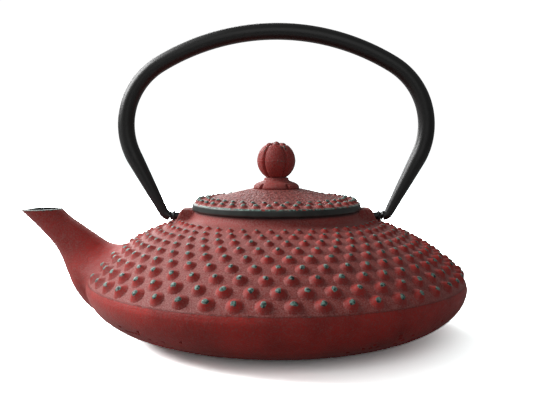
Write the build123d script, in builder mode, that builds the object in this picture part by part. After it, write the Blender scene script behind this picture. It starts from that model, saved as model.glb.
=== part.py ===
"""Cast iron teapot with a bail handle, a lifting lid and a steel infuser basket.

Millimetres, +Z up. The origin is the centre of the base, on the plane that the
pot stands on. The spout points along -X and the handle hinges about the X line
through the two lugs. The rows of raised dots on the cast surface are relief of
under 2 mm and are left out of the solids.
"""
from build123d import *
import os
from math import atan2, cos, degrees, hypot, radians, sin, sqrt

os.makedirs("parts", exist_ok=True)

# ---- pot body: bowl, belt and dome ----
BODY_R = 97.5            # widest radius, at the top of the bowl
BELT_Z = 26.0            # height of the widest ring
FOOT_R = 50.7            # radius of the flat base
FOOT_H = 1.2             # height of the base disc under the bowl
WALL = 3.0               # casting thickness
FLOOR_Z = 3.5            # inside floor
STEP = 0.5               # small ledge where the dome meets the bowl
BELT_H = 2.4             # height of the belt's outer face
DOME_FOOT_R = 96.4       # radius where the dome starts, above the belt
DOME_R = 105.2           # radius of the dome's section
DOME_C = (20.5, -43.6)   # its centre, as (radius, height)

# ---- neck and mouth ----
NECK_R = 42.5
NECK_FOOT_R = 47.5       # where the neck's flare meets the dome
NECK_TOP_Z = 61.2        # top of the flare, under a short upright land
FLARE_DIR = (-0.9, 0.18) # direction of the flare where it leaves the dome
RIM_Z = 63.3             # land that the lid rests on
MOUTH_R = 35.6
RECESS_R = 38.6          # recess for the infuser's flange
RECESS_Z = 61.9

# ---- lugs and handle hinge ----
HINGE_Z = 60.0
LUG_TOP_Z = 64.1
LUG_W = 12.5
LUG_ROOT_X = 40.0        # inside the neck's wall
LUG_ROUND = 2.4
LUG_IN_R = 44.2          # kept clear of the lid's edge
LUG_FACE = ((49.0, LUG_TOP_Z), (53.6, 54.0))
BORE_R = 2.0
BORE_IN_X = 45.0         # blind end of the bore
PIN_R = 1.93
PIN_IN_X = 45.4
PIN_CHAMFER = 0.6
BORE_REACH = 20.0        # the bore's cut runs well past the lug's face
LID_ROOM_H = 5.0         # height of the space cleared round the lid

# ---- handle ----
ROD_R = 4.3
BOW_TOP_Z = 154.9        # centre line at the top of the bow
BOW_R = 116.2            # centre line radius over the top
SIDE_R = 36.5            # centre line radius at each side
SIDE_C = (41.1, 107.0)
LEG_TILT = 27.6          # legs lean in by this angle from vertical
LEG_END_R = 2.5
BEND_R = 4.0
COLLAR_R = 2.9
COLLAR_X = (52.9, 53.4, 54.4)

# ---- lid ----
LID_R = 43.7
LID_EDGE_Z = 66.7
CROWN_R = 12.6
CROWN_Z = 74.3
LID_WALL = 3.0
LID_BEVEL = (0.8, 0.6)   # bevel over the rim, across and down
LID_CHAMFER = (0.6, 0.5) # chamfer under the rim, across and up
LID_MIDDLE = (28.0, 70.7)  # a point half way up the lid's top, as (radius, height)
SKIRT_R = (31.3, 33.8)
SKIRT_Z = 57.5
SKIRT_ROOT_Z = 65.7      # where the inside of the skirt turns into the lid

# ---- knob and its seat ----
LOBES = 5
NOTCH_AZIMUTH = -132.0   # first groove, from +X; the others follow by fifths
SEAT_R = 12.0
SEAT_TOP_Z = 80.0
SEAT_EDGE_H = 0.7        # height of the collar's outer edge
SEAT_MIDDLE = (9.7, 76.7)  # a point on the collar's hollow side, as (radius, height)
SEAT_WAIST = (7.0, 78.0)   # where the hollow side meets the ring under the knob
SEAT_RING = (6.6, 78.4)
SEAT_RING_TOP_R = 6.0
NOTCH_SIZE = 1.6         # corner radius of the three-sided notch between two lobes
NOTCH_OUT = 0.4          # how far outside the edge the notch's centre is
NOTCH_H = 6.0
KNOB_R = 10.0
KNOB_Z = 88.7
KNOB_TOP_Z = 97.1
KNOB_CROWN_Z = 96.2      # flat top of the melon, under the flower
KNOB_FOOT_Z = 80.5       # bottom of the melon, above a short neck
KNOB_NECK_IN = 0.7       # how far the neck is inside the melon's foot
GROOVE_R = 0.9           # section of the groove between two gores
GROOVE_DEPTH = 0.7
GROOVE_ARC = 106.0       # length of a groove along its meridian, in degrees
FLOWER_R = 3.4
PETAL_R = 1.9
BUTTON_R = 1.6
BUTTON_TOP_Z = 99.4
BUTTON_SINK = 0.5        # how far the button reaches down into the flower
FLOWER_T = 1.2
FLOWER_TAPER = 12.0
SCREW_R = 2.0
SCREW_HOLE_R = 2.3
SCREW_TOP_Z = 88.0
SCREW_END_GAP = 1.0      # left between the screw's tip and the end of its hole
FIT = 0.05               # radial clearance of a close fit
HEAD_R = 3.8
HEAD_T = 2.2
SLOT_W = 1.0
WASHER_R = 6.0
WASHER_T = 1.0

# ---- infuser basket ----
FLANGE_R = (34.2, 38.2)
FLANGE_T = 0.6
BASKET_WALL_R = (34.5, 34.9)
BAND_R = (34.95, 35.3)
BAND_Z = 54.0
BASKET_Z = 22.4
BASE_LIP_R = 31.5
BASE_LIP_T = 0.6
BASE_MESH_T = 0.5
BASE_BAND_Z = 27.0


def dome_z(radius, offset=0.0):
    """Height of the dome's section, offset inwards by a wall thickness."""
    reach = DOME_R - offset
    return DOME_C[1] + sqrt(reach**2 - (radius - DOME_C[0]) ** 2)


# Spout sections, from the mouth down to the root. Each row holds the outer
# (lower) edge, the inner (upper) edge and the half width across the spout.
SPOUT = (
    ((-132.0, 63.4), (-110.8, 64.0), 7.6),
    ((-124.4, 54.3), (-106.6, 59.4), 7.6),
    ((-116.8, 46.0), (-100.2, 54.6), 8.4),
    ((-112.5, 38.5), (-92.6, 49.2), 10.4),
    ((-109.6, 30.5), (-84.0, 43.6), 13.6),
    ((-106.0, 20.5), (-75.0, 41.5), 17.0),
    ((-96.5, 11.0), (-64.0, 36.5), 19.5),
)
SPOUT_WALL = 2.6


def spout_plane(low, high):
    """The plane of a spout section, through its two edge points and across Y."""
    across = Vector(high[0] - low[0], 0, high[1] - low[1]).normalized()
    middle = Vector((low[0] + high[0]) / 2, 0, (low[1] + high[1]) / 2)
    return Plane(origin=middle, x_dir=across, z_dir=across.cross(Vector(0, 1, 0)))


def spout_radius(low, high):
    """Half the distance between a section's two edge points."""
    return hypot(high[0] - low[0], high[1] - low[1]) / 2


# ============================== pot body ==============================
# One lug, with a slanting outer face and rounded outer corners.
with BuildPart() as lug:
    with BuildSketch(Plane.XZ):
        with BuildLine():
            Polyline(
                (LUG_ROOT_X, LUG_TOP_Z), LUG_FACE[0], LUG_FACE[1], (LUG_ROOT_X, LUG_FACE[1][1]),
                close=True,
            )
        make_face()
    extrude(amount=LUG_W / 2, both=True)
    outer_face = lug.faces().sort_by(Axis.X)[-1]
    fillet(outer_face.edges().sort_by(Axis.Z)[1:], LUG_ROUND)

with BuildPart() as pot_body:
    with BuildSketch(Plane.XZ):
        with BuildLine():
            neck_foot_z = dome_z(NECK_FOOT_R)
            Line((0, 0), (FOOT_R - STEP, 0))
            Line((FOOT_R - STEP, 0), (FOOT_R, FOOT_H))
            EllipticalCenterArc(
                (FOOT_R, BELT_Z), BODY_R - FOOT_R, BELT_Z - FOOT_H, start_angle=270, arc_size=90
            )
            Polyline(
                (BODY_R, BELT_Z),
                (BODY_R - STEP, BELT_Z + BELT_H),
                (DOME_FOOT_R, BELT_Z + BELT_H + STEP),
                (DOME_FOOT_R, dome_z(DOME_FOOT_R)),
            )
            middle_r = (DOME_FOOT_R + NECK_FOOT_R) / 2
            ThreePointArc(
                (DOME_FOOT_R, dome_z(DOME_FOOT_R)),
                (middle_r, dome_z(middle_r)),
                (NECK_FOOT_R, neck_foot_z),
            )
            TangentArc((NECK_FOOT_R, neck_foot_z), (NECK_R, NECK_TOP_Z), tangent=FLARE_DIR)
            Polyline((NECK_R, NECK_TOP_Z), (NECK_R, RIM_Z), (0, RIM_Z), (0, 0))
        make_face()
    revolve(axis=Axis.Z)

    for low, high, half_width in SPOUT:
        with BuildSketch(spout_plane(low, high)):
            Ellipse(spout_radius(low, high), half_width)
    loft()

    # A lug on each side of the neck.
    add(lug.part)
    add(mirror(lug.part, about=Plane.YZ, mode=Mode.PRIVATE))

    # The inside: cavity, mouth and the recess for the infuser.
    with BuildSketch(Plane.XZ):
        with BuildLine():
            inner_r = BODY_R - WALL
            middle_r = (inner_r + MOUTH_R) / 2
            Line((0, FLOOR_Z), (FOOT_R, FLOOR_Z))
            EllipticalCenterArc(
                (FOOT_R, BELT_Z), inner_r - FOOT_R, BELT_Z - FLOOR_Z, start_angle=270, arc_size=90
            )
            Line((inner_r, BELT_Z), (inner_r, dome_z(inner_r, WALL)))
            ThreePointArc(
                (inner_r, dome_z(inner_r, WALL)),
                (middle_r, dome_z(middle_r, WALL)),
                (MOUTH_R, dome_z(MOUTH_R, WALL)),
            )
            Polyline(
                (MOUTH_R, dome_z(MOUTH_R, WALL)),
                (MOUTH_R, RECESS_Z),
                (RECESS_R, RECESS_Z),
                (RECESS_R, RIM_Z + LID_ROOM_H),
                (0, RIM_Z + LID_ROOM_H),
                (0, FLOOR_Z),
            )
        make_face()
    revolve(axis=Axis.Z, mode=Mode.SUBTRACT)
    with BuildSketch(Plane.XY.offset(RIM_Z)):
        Circle(LUG_IN_R)
    extrude(amount=LID_ROOM_H, mode=Mode.SUBTRACT)

    # The spout's channel opens into the cavity.
    for low, high, half_width in SPOUT:
        with BuildSketch(spout_plane(low, high)):
            Ellipse(spout_radius(low, high) - SPOUT_WALL, half_width - SPOUT_WALL)
    loft(mode=Mode.SUBTRACT)

    # A blind bore along X in each lug takes the handle's pin.
    for side in (1, -1):
        bore_plane = Plane(origin=(side * BORE_IN_X, 0, HINGE_Z), z_dir=(side, 0, 0))
        with BuildSketch(bore_plane):
            Circle(BORE_R)
        extrude(amount=BORE_REACH, mode=Mode.SUBTRACT)
pot_body.part.label = "pot_body"
export_step(pot_body.part, "parts/pot_body.step")


# ============================== lid ==============================
lid_shoulder = (LID_R - LID_BEVEL[0], LID_EDGE_Z + LID_BEVEL[1])
with BuildPart() as lid:
    with BuildSketch(Plane.XZ):
        with BuildLine():
            Polyline(
                (SCREW_HOLE_R, CROWN_Z - LID_WALL),
                (CROWN_R, CROWN_Z - LID_WALL),
                (SKIRT_R[0], SKIRT_ROOT_Z),
                (SKIRT_R[0], SKIRT_Z),
                (SKIRT_R[1], SKIRT_Z),
                (SKIRT_R[1], RIM_Z),
                (LID_R - LID_CHAMFER[0], RIM_Z),
                (LID_R, RIM_Z + LID_CHAMFER[1]),
                (LID_R, LID_EDGE_Z),
                lid_shoulder,
            )
            ThreePointArc(lid_shoulder, LID_MIDDLE, (CROWN_R, CROWN_Z))
            Polyline(
                (CROWN_R, CROWN_Z), (SCREW_HOLE_R, CROWN_Z), (SCREW_HOLE_R, CROWN_Z - LID_WALL)
            )
        make_face()
    revolve(axis=Axis.Z)
lid.part.label = "lid"
export_step(lid.part, "parts/lid.step")

# ============================== knob seat ==============================
# A bell-shaped collar with five lobes, parted by notches at its edge.
with BuildPart() as knob_seat:
    with BuildSketch(Plane.XZ):
        with BuildLine():
            Polyline(
                SEAT_WAIST,
                SEAT_RING,
                (SEAT_RING_TOP_R, SEAT_TOP_Z),
                (SCREW_HOLE_R, SEAT_TOP_Z),
                (SCREW_HOLE_R, CROWN_Z),
                (SEAT_R, CROWN_Z),
                (SEAT_R, CROWN_Z + SEAT_EDGE_H),
            )
            Spline((SEAT_R, CROWN_Z + SEAT_EDGE_H), SEAT_MIDDLE, SEAT_WAIST)
        make_face()
    revolve(axis=Axis.Z)
    with BuildSketch(Plane.XY.offset(CROWN_Z)):
        with PolarLocations(SEAT_R + NOTCH_OUT, LOBES, start_angle=NOTCH_AZIMUTH):
            RegularPolygon(NOTCH_SIZE, 3, rotation=180)
    extrude(amount=NOTCH_H, mode=Mode.SUBTRACT)
knob_seat.part.label = "knob_seat"
export_step(knob_seat.part, "parts/knob_seat.step")

# ============================== knob ==============================
# A melon of five gores with a flat crown, a five-petal flower and a button.
with BuildPart() as knob:
    with BuildSketch(Plane.XZ):
        with BuildLine():
            foot_r = sqrt(KNOB_R**2 - (KNOB_Z - KNOB_FOOT_Z) ** 2)
            crown_r = sqrt(KNOB_R**2 - (KNOB_CROWN_Z - KNOB_Z) ** 2)
            Polyline(
                (0, KNOB_CROWN_Z),
                (0, SEAT_TOP_Z),
                (foot_r - KNOB_NECK_IN, SEAT_TOP_Z),
                (foot_r - KNOB_NECK_IN, KNOB_FOOT_Z),
                (foot_r, KNOB_FOOT_Z),
            )
            ThreePointArc((foot_r, KNOB_FOOT_Z), (KNOB_R, KNOB_Z), (crown_r, KNOB_CROWN_Z))
            Line((crown_r, KNOB_CROWN_Z), (0, KNOB_CROWN_Z))
        make_face()
    revolve(axis=Axis.Z)
    for gore in range(LOBES):
        azimuth = NOTCH_AZIMUTH + gore * 360 / LOBES
        outwards = Vector(cos(radians(azimuth)), sin(radians(azimuth)), 0)
        swing = outwards.cross(Vector(0, 0, 1))
        half_arc = radians(GROOVE_ARC / 2)
        start = outwards * cos(half_arc) - Vector(0, 0, 1) * sin(half_arc)
        across_groove = Plane(origin=(0, 0, KNOB_Z), x_dir=start, z_dir=swing.cross(start))
        with BuildSketch(across_groove):
            with Locations((KNOB_R + GROOVE_R - GROOVE_DEPTH, 0)):
                Circle(GROOVE_R)
        revolve(
            axis=Axis((0, 0, KNOB_Z), swing), revolution_arc=GROOVE_ARC, mode=Mode.SUBTRACT
        )
    with BuildSketch(Plane.XY.offset(KNOB_TOP_Z - FLOWER_T)):
        with PolarLocations(FLOWER_R, LOBES, start_angle=NOTCH_AZIMUTH + 180 / LOBES):
            Circle(PETAL_R)
        Circle(FLOWER_R)
    extrude(amount=FLOWER_T, taper=FLOWER_TAPER)
    with BuildSketch(Plane.XY.offset(KNOB_TOP_Z - BUTTON_SINK)):
        Circle(BUTTON_R)
    extrude(amount=BUTTON_TOP_Z - KNOB_TOP_Z + BUTTON_SINK)
    button_rim = knob.edges().sort_by(Axis.Z)[-1]
    fillet(button_rim, BUTTON_R * 0.8)
    with BuildSketch(Plane.XY.offset(SEAT_TOP_Z)):
        Circle(SCREW_R + FIT)
    extrude(amount=SCREW_TOP_Z + SCREW_END_GAP - SEAT_TOP_Z, mode=Mode.SUBTRACT)
knob.part.label = "knob"
export_step(knob.part, "parts/knob.step")

# ============================== washer and screw ==============================
washer_top = CROWN_Z - LID_WALL
with BuildPart() as knob_washer:
    with BuildSketch(Plane.XY.offset(washer_top - WASHER_T)):
        Circle(WASHER_R)
        Circle(SCREW_HOLE_R, mode=Mode.SUBTRACT)
    extrude(amount=WASHER_T)
knob_washer.part.label = "knob_washer"
export_step(knob_washer.part, "parts/knob_washer.step")

with BuildPart() as knob_screw:
    head_top = washer_top - WASHER_T
    with BuildSketch(Plane.XY.offset(head_top - HEAD_T)):
        Circle(HEAD_R)
    extrude(amount=HEAD_T)
    fillet(knob_screw.edges().sort_by(Axis.Z)[0], HEAD_T * 0.6)
    with BuildSketch(Plane.XY.offset(head_top)):
        Circle(SCREW_R)
    extrude(amount=SCREW_TOP_Z - head_top)
    with BuildSketch(Plane.XY.offset(head_top - HEAD_T)):
        Rectangle(HEAD_R * 2, SLOT_W)
    extrude(amount=HEAD_T / 2, mode=Mode.SUBTRACT)
knob_screw.part.label = "knob_screw"
export_step(knob_screw.part, "parts/knob_screw.step")

# ============================== handle ==============================
# One end of the bow: round the side, down the tapering leg, then in to the pin.
# The other end is its mirror image, and an arc over the top joins the two.
tilt = radians(LEG_TILT)
side_top = atan2(SIDE_C[1] - BOW_TOP_Z + BOW_R, SIDE_C[0])
corner = (
    SIDE_C[0] + SIDE_R * cos(side_top),
    SIDE_C[1] + SIDE_R * sin(side_top),
)
leg_top = (SIDE_C[0] + SIDE_R * cos(tilt), SIDE_C[1] - SIDE_R * sin(tilt))
elbow_x = leg_top[0] - (leg_top[1] - HINGE_Z) * sin(tilt) / cos(tilt)
setback = BEND_R * (1 - sin(tilt)) / cos(tilt)
leg_end = (elbow_x + setback * sin(tilt), HINGE_Z + setback * cos(tilt))
pin_start_x = elbow_x - setback
leg_dir = Vector(-sin(tilt), 0, -cos(tilt))
leg_side = (cos(tilt), -sin(tilt))

with BuildPart() as handle_end:
    with BuildSketch(Plane(origin=(leg_top[0], 0, leg_top[1]), z_dir=-leg_dir)):
        Circle(ROD_R)
    revolve(
        axis=Axis((SIDE_C[0], 0, SIDE_C[1]), (0, -1, 0)),
        revolution_arc=degrees(side_top) + LEG_TILT,
    )
    with BuildSketch(Plane.XZ):
        Polygon(
            leg_top,
            (leg_top[0] + ROD_R * leg_side[0], leg_top[1] + ROD_R * leg_side[1]),
            (leg_end[0] + LEG_END_R * leg_side[0], leg_end[1] + LEG_END_R * leg_side[1]),
            leg_end,
            align=None,
        )
    revolve(axis=Axis((leg_top[0], 0, leg_top[1]), leg_dir))
    with BuildSketch(Plane(origin=(pin_start_x, 0, HINGE_Z), z_dir=(1, 0, 0))):
        Circle(LEG_END_R)
    revolve(
        axis=Axis((pin_start_x, 0, HINGE_Z + BEND_R), (0, -1, 0)),
        revolution_arc=90 - LEG_TILT,
    )
    with BuildSketch(Plane.XZ):
        with BuildLine():
            Polyline(
                (pin_start_x, HINGE_Z),
                (pin_start_x, HINGE_Z + LEG_END_R),
                (COLLAR_X[2], HINGE_Z + PIN_R),
                (COLLAR_X[1], HINGE_Z + COLLAR_R),
                (COLLAR_X[0], HINGE_Z + COLLAR_R),
                (COLLAR_X[0], HINGE_Z + PIN_R),
                (PIN_IN_X + PIN_CHAMFER, HINGE_Z + PIN_R),
                (PIN_IN_X, HINGE_Z + PIN_R - PIN_CHAMFER),
                (PIN_IN_X, HINGE_Z),
                close=True,
            )
        make_face()
    revolve(axis=Axis((0, 0, HINGE_Z), (1, 0, 0)))

with BuildPart() as handle:
    top_dir = Vector(-sin(side_top), 0, cos(side_top))
    with BuildSketch(Plane(origin=(corner[0], 0, corner[1]), z_dir=top_dir)):
        Circle(ROD_R)
    revolve(
        axis=Axis((0, 0, BOW_TOP_Z - BOW_R), (0, -1, 0)),
        revolution_arc=2 * (90 - degrees(side_top)),
    )
    add(handle_end.part)
    add(mirror(handle_end.part, about=Plane.YZ, mode=Mode.PRIVATE))
handle.part.label = "handle"
export_step(handle.part, "parts/handle.step")

# ============================== infuser basket ==============================
with BuildPart() as strainer_rim:
    with BuildSketch(Plane.XY.offset(RECESS_Z)):
        Circle(FLANGE_R[1])
        Circle(FLANGE_R[0], mode=Mode.SUBTRACT)
    extrude(amount=FLANGE_T)
    with BuildSketch(Plane.XY.offset(BAND_Z)):
        Circle(BAND_R[1])
        Circle(BAND_R[0], mode=Mode.SUBTRACT)
    extrude(amount=RECESS_Z - BAND_Z)
strainer_rim.part.label = "strainer_rim"
export_step(strainer_rim.part, "parts/strainer_rim.step")

with BuildPart() as strainer_wall:
    with BuildSketch(Plane.XY.offset(BASKET_Z + BASE_LIP_T)):
        Circle(BASKET_WALL_R[1])
        Circle(BASKET_WALL_R[0], mode=Mode.SUBTRACT)
    extrude(amount=RECESS_Z - BASKET_Z - BASE_LIP_T)
strainer_wall.part.label = "strainer_wall"
export_step(strainer_wall.part, "parts/strainer_wall.step")

with BuildPart() as strainer_base_ring:
    with BuildSketch(Plane.XY.offset(BASKET_Z)):
        Circle(BAND_R[1])
        Circle(BASE_LIP_R, mode=Mode.SUBTRACT)
    extrude(amount=BASE_LIP_T)
    with BuildSketch(Plane.XY.offset(BASKET_Z)):
        Circle(BAND_R[1])
        Circle(BAND_R[0], mode=Mode.SUBTRACT)
    extrude(amount=BASE_BAND_Z - BASKET_Z)
strainer_base_ring.part.label = "strainer_base_ring"
export_step(strainer_base_ring.part, "parts/strainer_base_ring.step")

with BuildPart() as strainer_base_mesh:
    with BuildSketch(Plane.XY.offset(BASKET_Z + BASE_LIP_T)):
        Circle(BASKET_WALL_R[0] - 2 * FIT)
    extrude(amount=BASE_MESH_T)
strainer_base_mesh.part.label = "strainer_base_mesh"
export_step(strainer_base_mesh.part, "parts/strainer_base_mesh.step")
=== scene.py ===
"""Looks of a cast iron teapot: dotted red casting, black bail handle, lid and infuser.

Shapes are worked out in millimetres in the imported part's own frame and turned to
metres when a mesh is made. The spout points along -X and the pot stands on Z = 0.
"""
import logging
import math
from dataclasses import dataclass, field
from enum import Enum
from functools import partial
from typing import Callable

import bmesh
import bpy
import numpy as np
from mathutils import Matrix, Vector, noise


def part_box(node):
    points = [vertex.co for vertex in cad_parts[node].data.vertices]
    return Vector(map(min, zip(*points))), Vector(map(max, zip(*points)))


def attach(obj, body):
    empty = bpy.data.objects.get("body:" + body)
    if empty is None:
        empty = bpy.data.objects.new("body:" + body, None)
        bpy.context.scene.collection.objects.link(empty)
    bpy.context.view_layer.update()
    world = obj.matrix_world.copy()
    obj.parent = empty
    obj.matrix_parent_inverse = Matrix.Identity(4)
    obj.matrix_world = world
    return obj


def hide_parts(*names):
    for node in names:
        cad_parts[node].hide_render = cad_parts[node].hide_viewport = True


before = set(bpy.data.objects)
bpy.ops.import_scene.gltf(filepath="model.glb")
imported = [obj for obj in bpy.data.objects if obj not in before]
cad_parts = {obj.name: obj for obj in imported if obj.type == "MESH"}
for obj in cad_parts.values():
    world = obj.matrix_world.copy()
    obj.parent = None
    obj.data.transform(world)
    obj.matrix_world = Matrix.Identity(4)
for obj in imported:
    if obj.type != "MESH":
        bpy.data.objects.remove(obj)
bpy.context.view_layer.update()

MM = 0.001
LOG = logging.getLogger("teapot")
Field = Callable[[np.ndarray], np.ndarray]
AddNode = Callable[..., bpy.types.Node]


class Slot(Enum):
    """The material slots."""

    RED = "red_enamel_iron"
    BLACK = "black_iron"
    TRIM = "steel_trim"
    MESH = "steel_mesh"


class Body(Enum):
    """The moving bodies that pieces ride on."""

    POT = "pot"
    HANDLE = "handle"
    LID = "lid"
    STRAINER = "strainer"


# --------------------------------------------------------------------------
# Small helpers
# --------------------------------------------------------------------------
def node_box(name: str) -> tuple[np.ndarray, np.ndarray]:
    """Lowest and highest corner of a CAD node, in millimetres."""
    low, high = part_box(name)
    return np.array(low) / MM, np.array(high) / MM


def linear(code: str) -> tuple[float, float, float, float]:
    """Turn an sRGB hex colour such as "8a2f2c" into linear RGBA.

    Args:
        code: Six hex digits.

    Returns:
        Red, green, blue and 1 for alpha.
    """
    parts = [int(code[i : i + 2], 16) / 255 for i in (0, 2, 4)]
    out = [p / 12.92 if p <= 0.04045 else ((p + 0.055) / 1.055) ** 2.4 for p in parts]
    return (out[0], out[1], out[2], 1.0)


def add(
    tree: bpy.types.NodeTree,
    kind: str,
    inputs: dict[str | int, object] | list | None = None,
    **settings: object,
) -> bpy.types.Node:
    """Add a node with its settings and links.

    Args:
        tree: The material or geometry tree to add to.
        kind: Blender's identifier of the node type, or the operation of a Math node.
        inputs: What feeds each input, by name or index or as a list: a socket, a node,
            whose first live output is taken, or a constant.
        settings: Properties of the node, by name.

    Returns:
        The new node.
    """
    if kind.isupper():
        kind, settings = "ShaderNodeMath", {"operation": kind}
    made = tree.nodes.new(kind)
    for name, value in settings.items():
        setattr(made, name, value)
    pairs = enumerate(inputs) if isinstance(inputs, list) else (inputs or {}).items()
    for key, value in pairs:
        if isinstance(value, bpy.types.Node):
            value = next(socket for socket in value.outputs if socket.enabled)
        if isinstance(value, bpy.types.NodeSocket):
            tree.links.new(value, made.inputs[key])
        else:
            made.inputs[key].default_value = value
    return made


def mesh_object(
    name: str,
    points: np.ndarray,
    faces: list | np.ndarray,
    sharp: float | None = 40.0,
    merge: bool = True,
) -> bpy.types.Object:
    """Make a smooth-shaded mesh object, with its doubles merged and its faces turned outwards.

    Args:
        name: The piece's name.
        points: Vertex places in millimetres, one row each.
        faces: Vertex indices of each face.
        sharp: Edges that turn by more than this many degrees stay crisp; None keeps all smooth.
        merge: False for a mesh that is already closed and has its faces the right way round.

    Returns:
        The new object, in the scene, at the origin.
    """
    data = bpy.data.meshes.new(name)
    faces = faces.tolist() if isinstance(faces, np.ndarray) else faces
    data.from_pydata((np.asarray(points) * MM).tolist(), [], faces)
    if merge:
        work = bmesh.new()
        work.from_mesh(data)
        bmesh.ops.remove_doubles(work, verts=work.verts, dist=1e-6)
        bmesh.ops.dissolve_degenerate(work, edges=work.edges, dist=1e-7)
        bmesh.ops.recalc_face_normals(work, faces=work.faces)
        work.to_mesh(data)
        work.free()
    data.shade_smooth()
    if sharp is not None:
        data.set_sharp_from_angle(angle=math.radians(sharp))
    made = bpy.data.objects.new(name, data)
    bpy.context.scene.collection.objects.link(made)
    return made


def set_attribute(piece: bpy.types.Object, name: str, values: np.ndarray) -> None:
    """Store one number per vertex on a piece, for its material to read."""
    layer = piece.data.attributes.new(name, "FLOAT", "POINT")
    layer.data.foreach_set("value", np.asarray(values, np.float32))


def vertices_mm(piece: bpy.types.Object) -> np.ndarray:
    """The piece's vertex places in millimetres.

    Args:
        piece: A mesh object.

    Returns:
        One row for each vertex.
    """
    flat = np.zeros(len(piece.data.vertices) * 3)
    piece.data.vertices.foreach_get("co", flat)
    return flat.reshape(-1, 3) / MM


def move_vertices(piece: bpy.types.Object, places: np.ndarray) -> None:
    """Set the piece's vertex places from millimetres."""
    piece.data.vertices.foreach_set("co", (places * MM).ravel())
    piece.data.update()


def grid_faces(rows: int, columns: int, wrap_rows: bool = False) -> np.ndarray:
    """Quads of a grid whose columns close on themselves.

    Args:
        rows: Number of rings.
        columns: Points in each ring.
        wrap_rows: True where the last ring also joins the first.

    Returns:
        Four vertex indices per face.
    """
    last = rows if wrap_rows else rows - 1
    row, column = np.meshgrid(np.arange(last), np.arange(columns), indexing="ij")
    row, column = row.ravel(), column.ravel()
    next_row, next_column = (row + 1) % rows, (column + 1) % columns
    corners = [(row, column), (row, next_column), (next_row, next_column), (next_row, column)]
    return np.stack([r * columns + c for r, c in corners], axis=1)


def rounded(profile: list[tuple[float, float]], radius: float, steps: int = 4) -> np.ndarray:
    """Round each inner corner of an open outline.

    Args:
        profile: Points as (radius from the axis, height).
        radius: The largest corner radius; short sides get less.
        steps: Points along each rounded corner.

    Returns:
        The rounded outline's points.
    """
    points = [np.array(p, float) for p in profile]
    out = [points[0]]
    for before, corner, after in zip(points, points[1:], points[2:]):
        back, ahead = before - corner, after - corner
        reach = min(radius, 0.45 * np.linalg.norm(back), 0.45 * np.linalg.norm(ahead))
        start = corner + back / np.linalg.norm(back) * reach
        end = corner + ahead / np.linalg.norm(ahead) * reach
        for t in np.linspace(0, 1, steps):
            out.append((1 - t) ** 2 * start + 2 * t * (1 - t) * corner + t**2 * end)
    out.append(points[-1])
    return np.array(out)


def refine(outline: np.ndarray, spacing: float) -> np.ndarray:
    """Add points to an outline so that none are further apart than the spacing.

    Args:
        outline: The outline's points.
        spacing: The longest step left between two points.

    Returns:
        The outline with its added points.
    """
    out = [outline[0]]
    for a, b in zip(outline, outline[1:]):
        count = max(1, math.ceil(np.linalg.norm(b - a) / spacing))
        out.extend(a + (b - a) * k / count for k in range(1, count + 1))
    return np.array(out)


def lathe(name: str, outline: np.ndarray, sides: int, closed: bool = False) -> bpy.types.Object:
    """Turn an outline of (radius, height) points about Z.

    Args:
        name: The piece's name.
        outline: The section. It starts and ends on the axis, unless it is closed.
        sides: Points round the axis.
        closed: True for a ring, whose outline joins up with itself.

    Returns:
        The turned piece.
    """
    azimuth = np.arange(sides) / sides * 2 * math.pi
    x = outline[:, :1] * np.cos(azimuth)
    y = outline[:, :1] * np.sin(azimuth)
    z = np.repeat(outline[:, 1:], sides, axis=1)
    points = np.stack([x, y, z], axis=-1).reshape(-1, 3)
    return mesh_object(name, points, grid_faces(len(outline), sides, closed))


def dress(piece: bpy.types.Object, material: bpy.types.Material) -> None:
    """Give a piece its only material."""
    piece.data.materials.clear()
    piece.data.materials.append(material)


def settle(
    piece: bpy.types.Object, body: Body, replaces: tuple[str, ...] = ()
) -> None:
    """Tie a finished piece to its body and the CAD nodes that it stands for.

    Args:
        piece: The finished piece.
        body: The body that it moves with.
        replaces: The CAD nodes that it stands for.
    """
    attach(piece, body.value)
    if replaces:
        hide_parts(*replaces)
    LOG.info("%s: %d faces", piece.name, len(piece.data.polygons))


def smooth_union(a: np.ndarray, b: np.ndarray, blend: float) -> np.ndarray:
    """Join two distance fields with a fillet of about the blend length."""
    share = np.clip(0.5 + 0.5 * (b - a) / blend, 0, 1)
    return b * (1 - share) + a * share - blend * share * (1 - share)


def bump_noise(points: np.ndarray, size: float) -> np.ndarray:
    """Smooth noise from -1 to 1 at each point, with lumps of about the given size in mm."""
    return np.array([noise.noise(Vector(p / size)) for p in points])


# --------------------------------------------------------------------------
# Finishes
# --------------------------------------------------------------------------
def new_material(name: str) -> tuple[bpy.types.Material, AddNode]:
    """Make an empty node material, and a function that adds nodes to it.

    Args:
        name: The material's name, which says what the real finish is.

    Returns:
        The material and the function.
    """
    material = bpy.data.materials.new(name)
    material.use_nodes = True
    material.node_tree.nodes.clear()
    return material, partial(add, material.node_tree)


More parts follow.
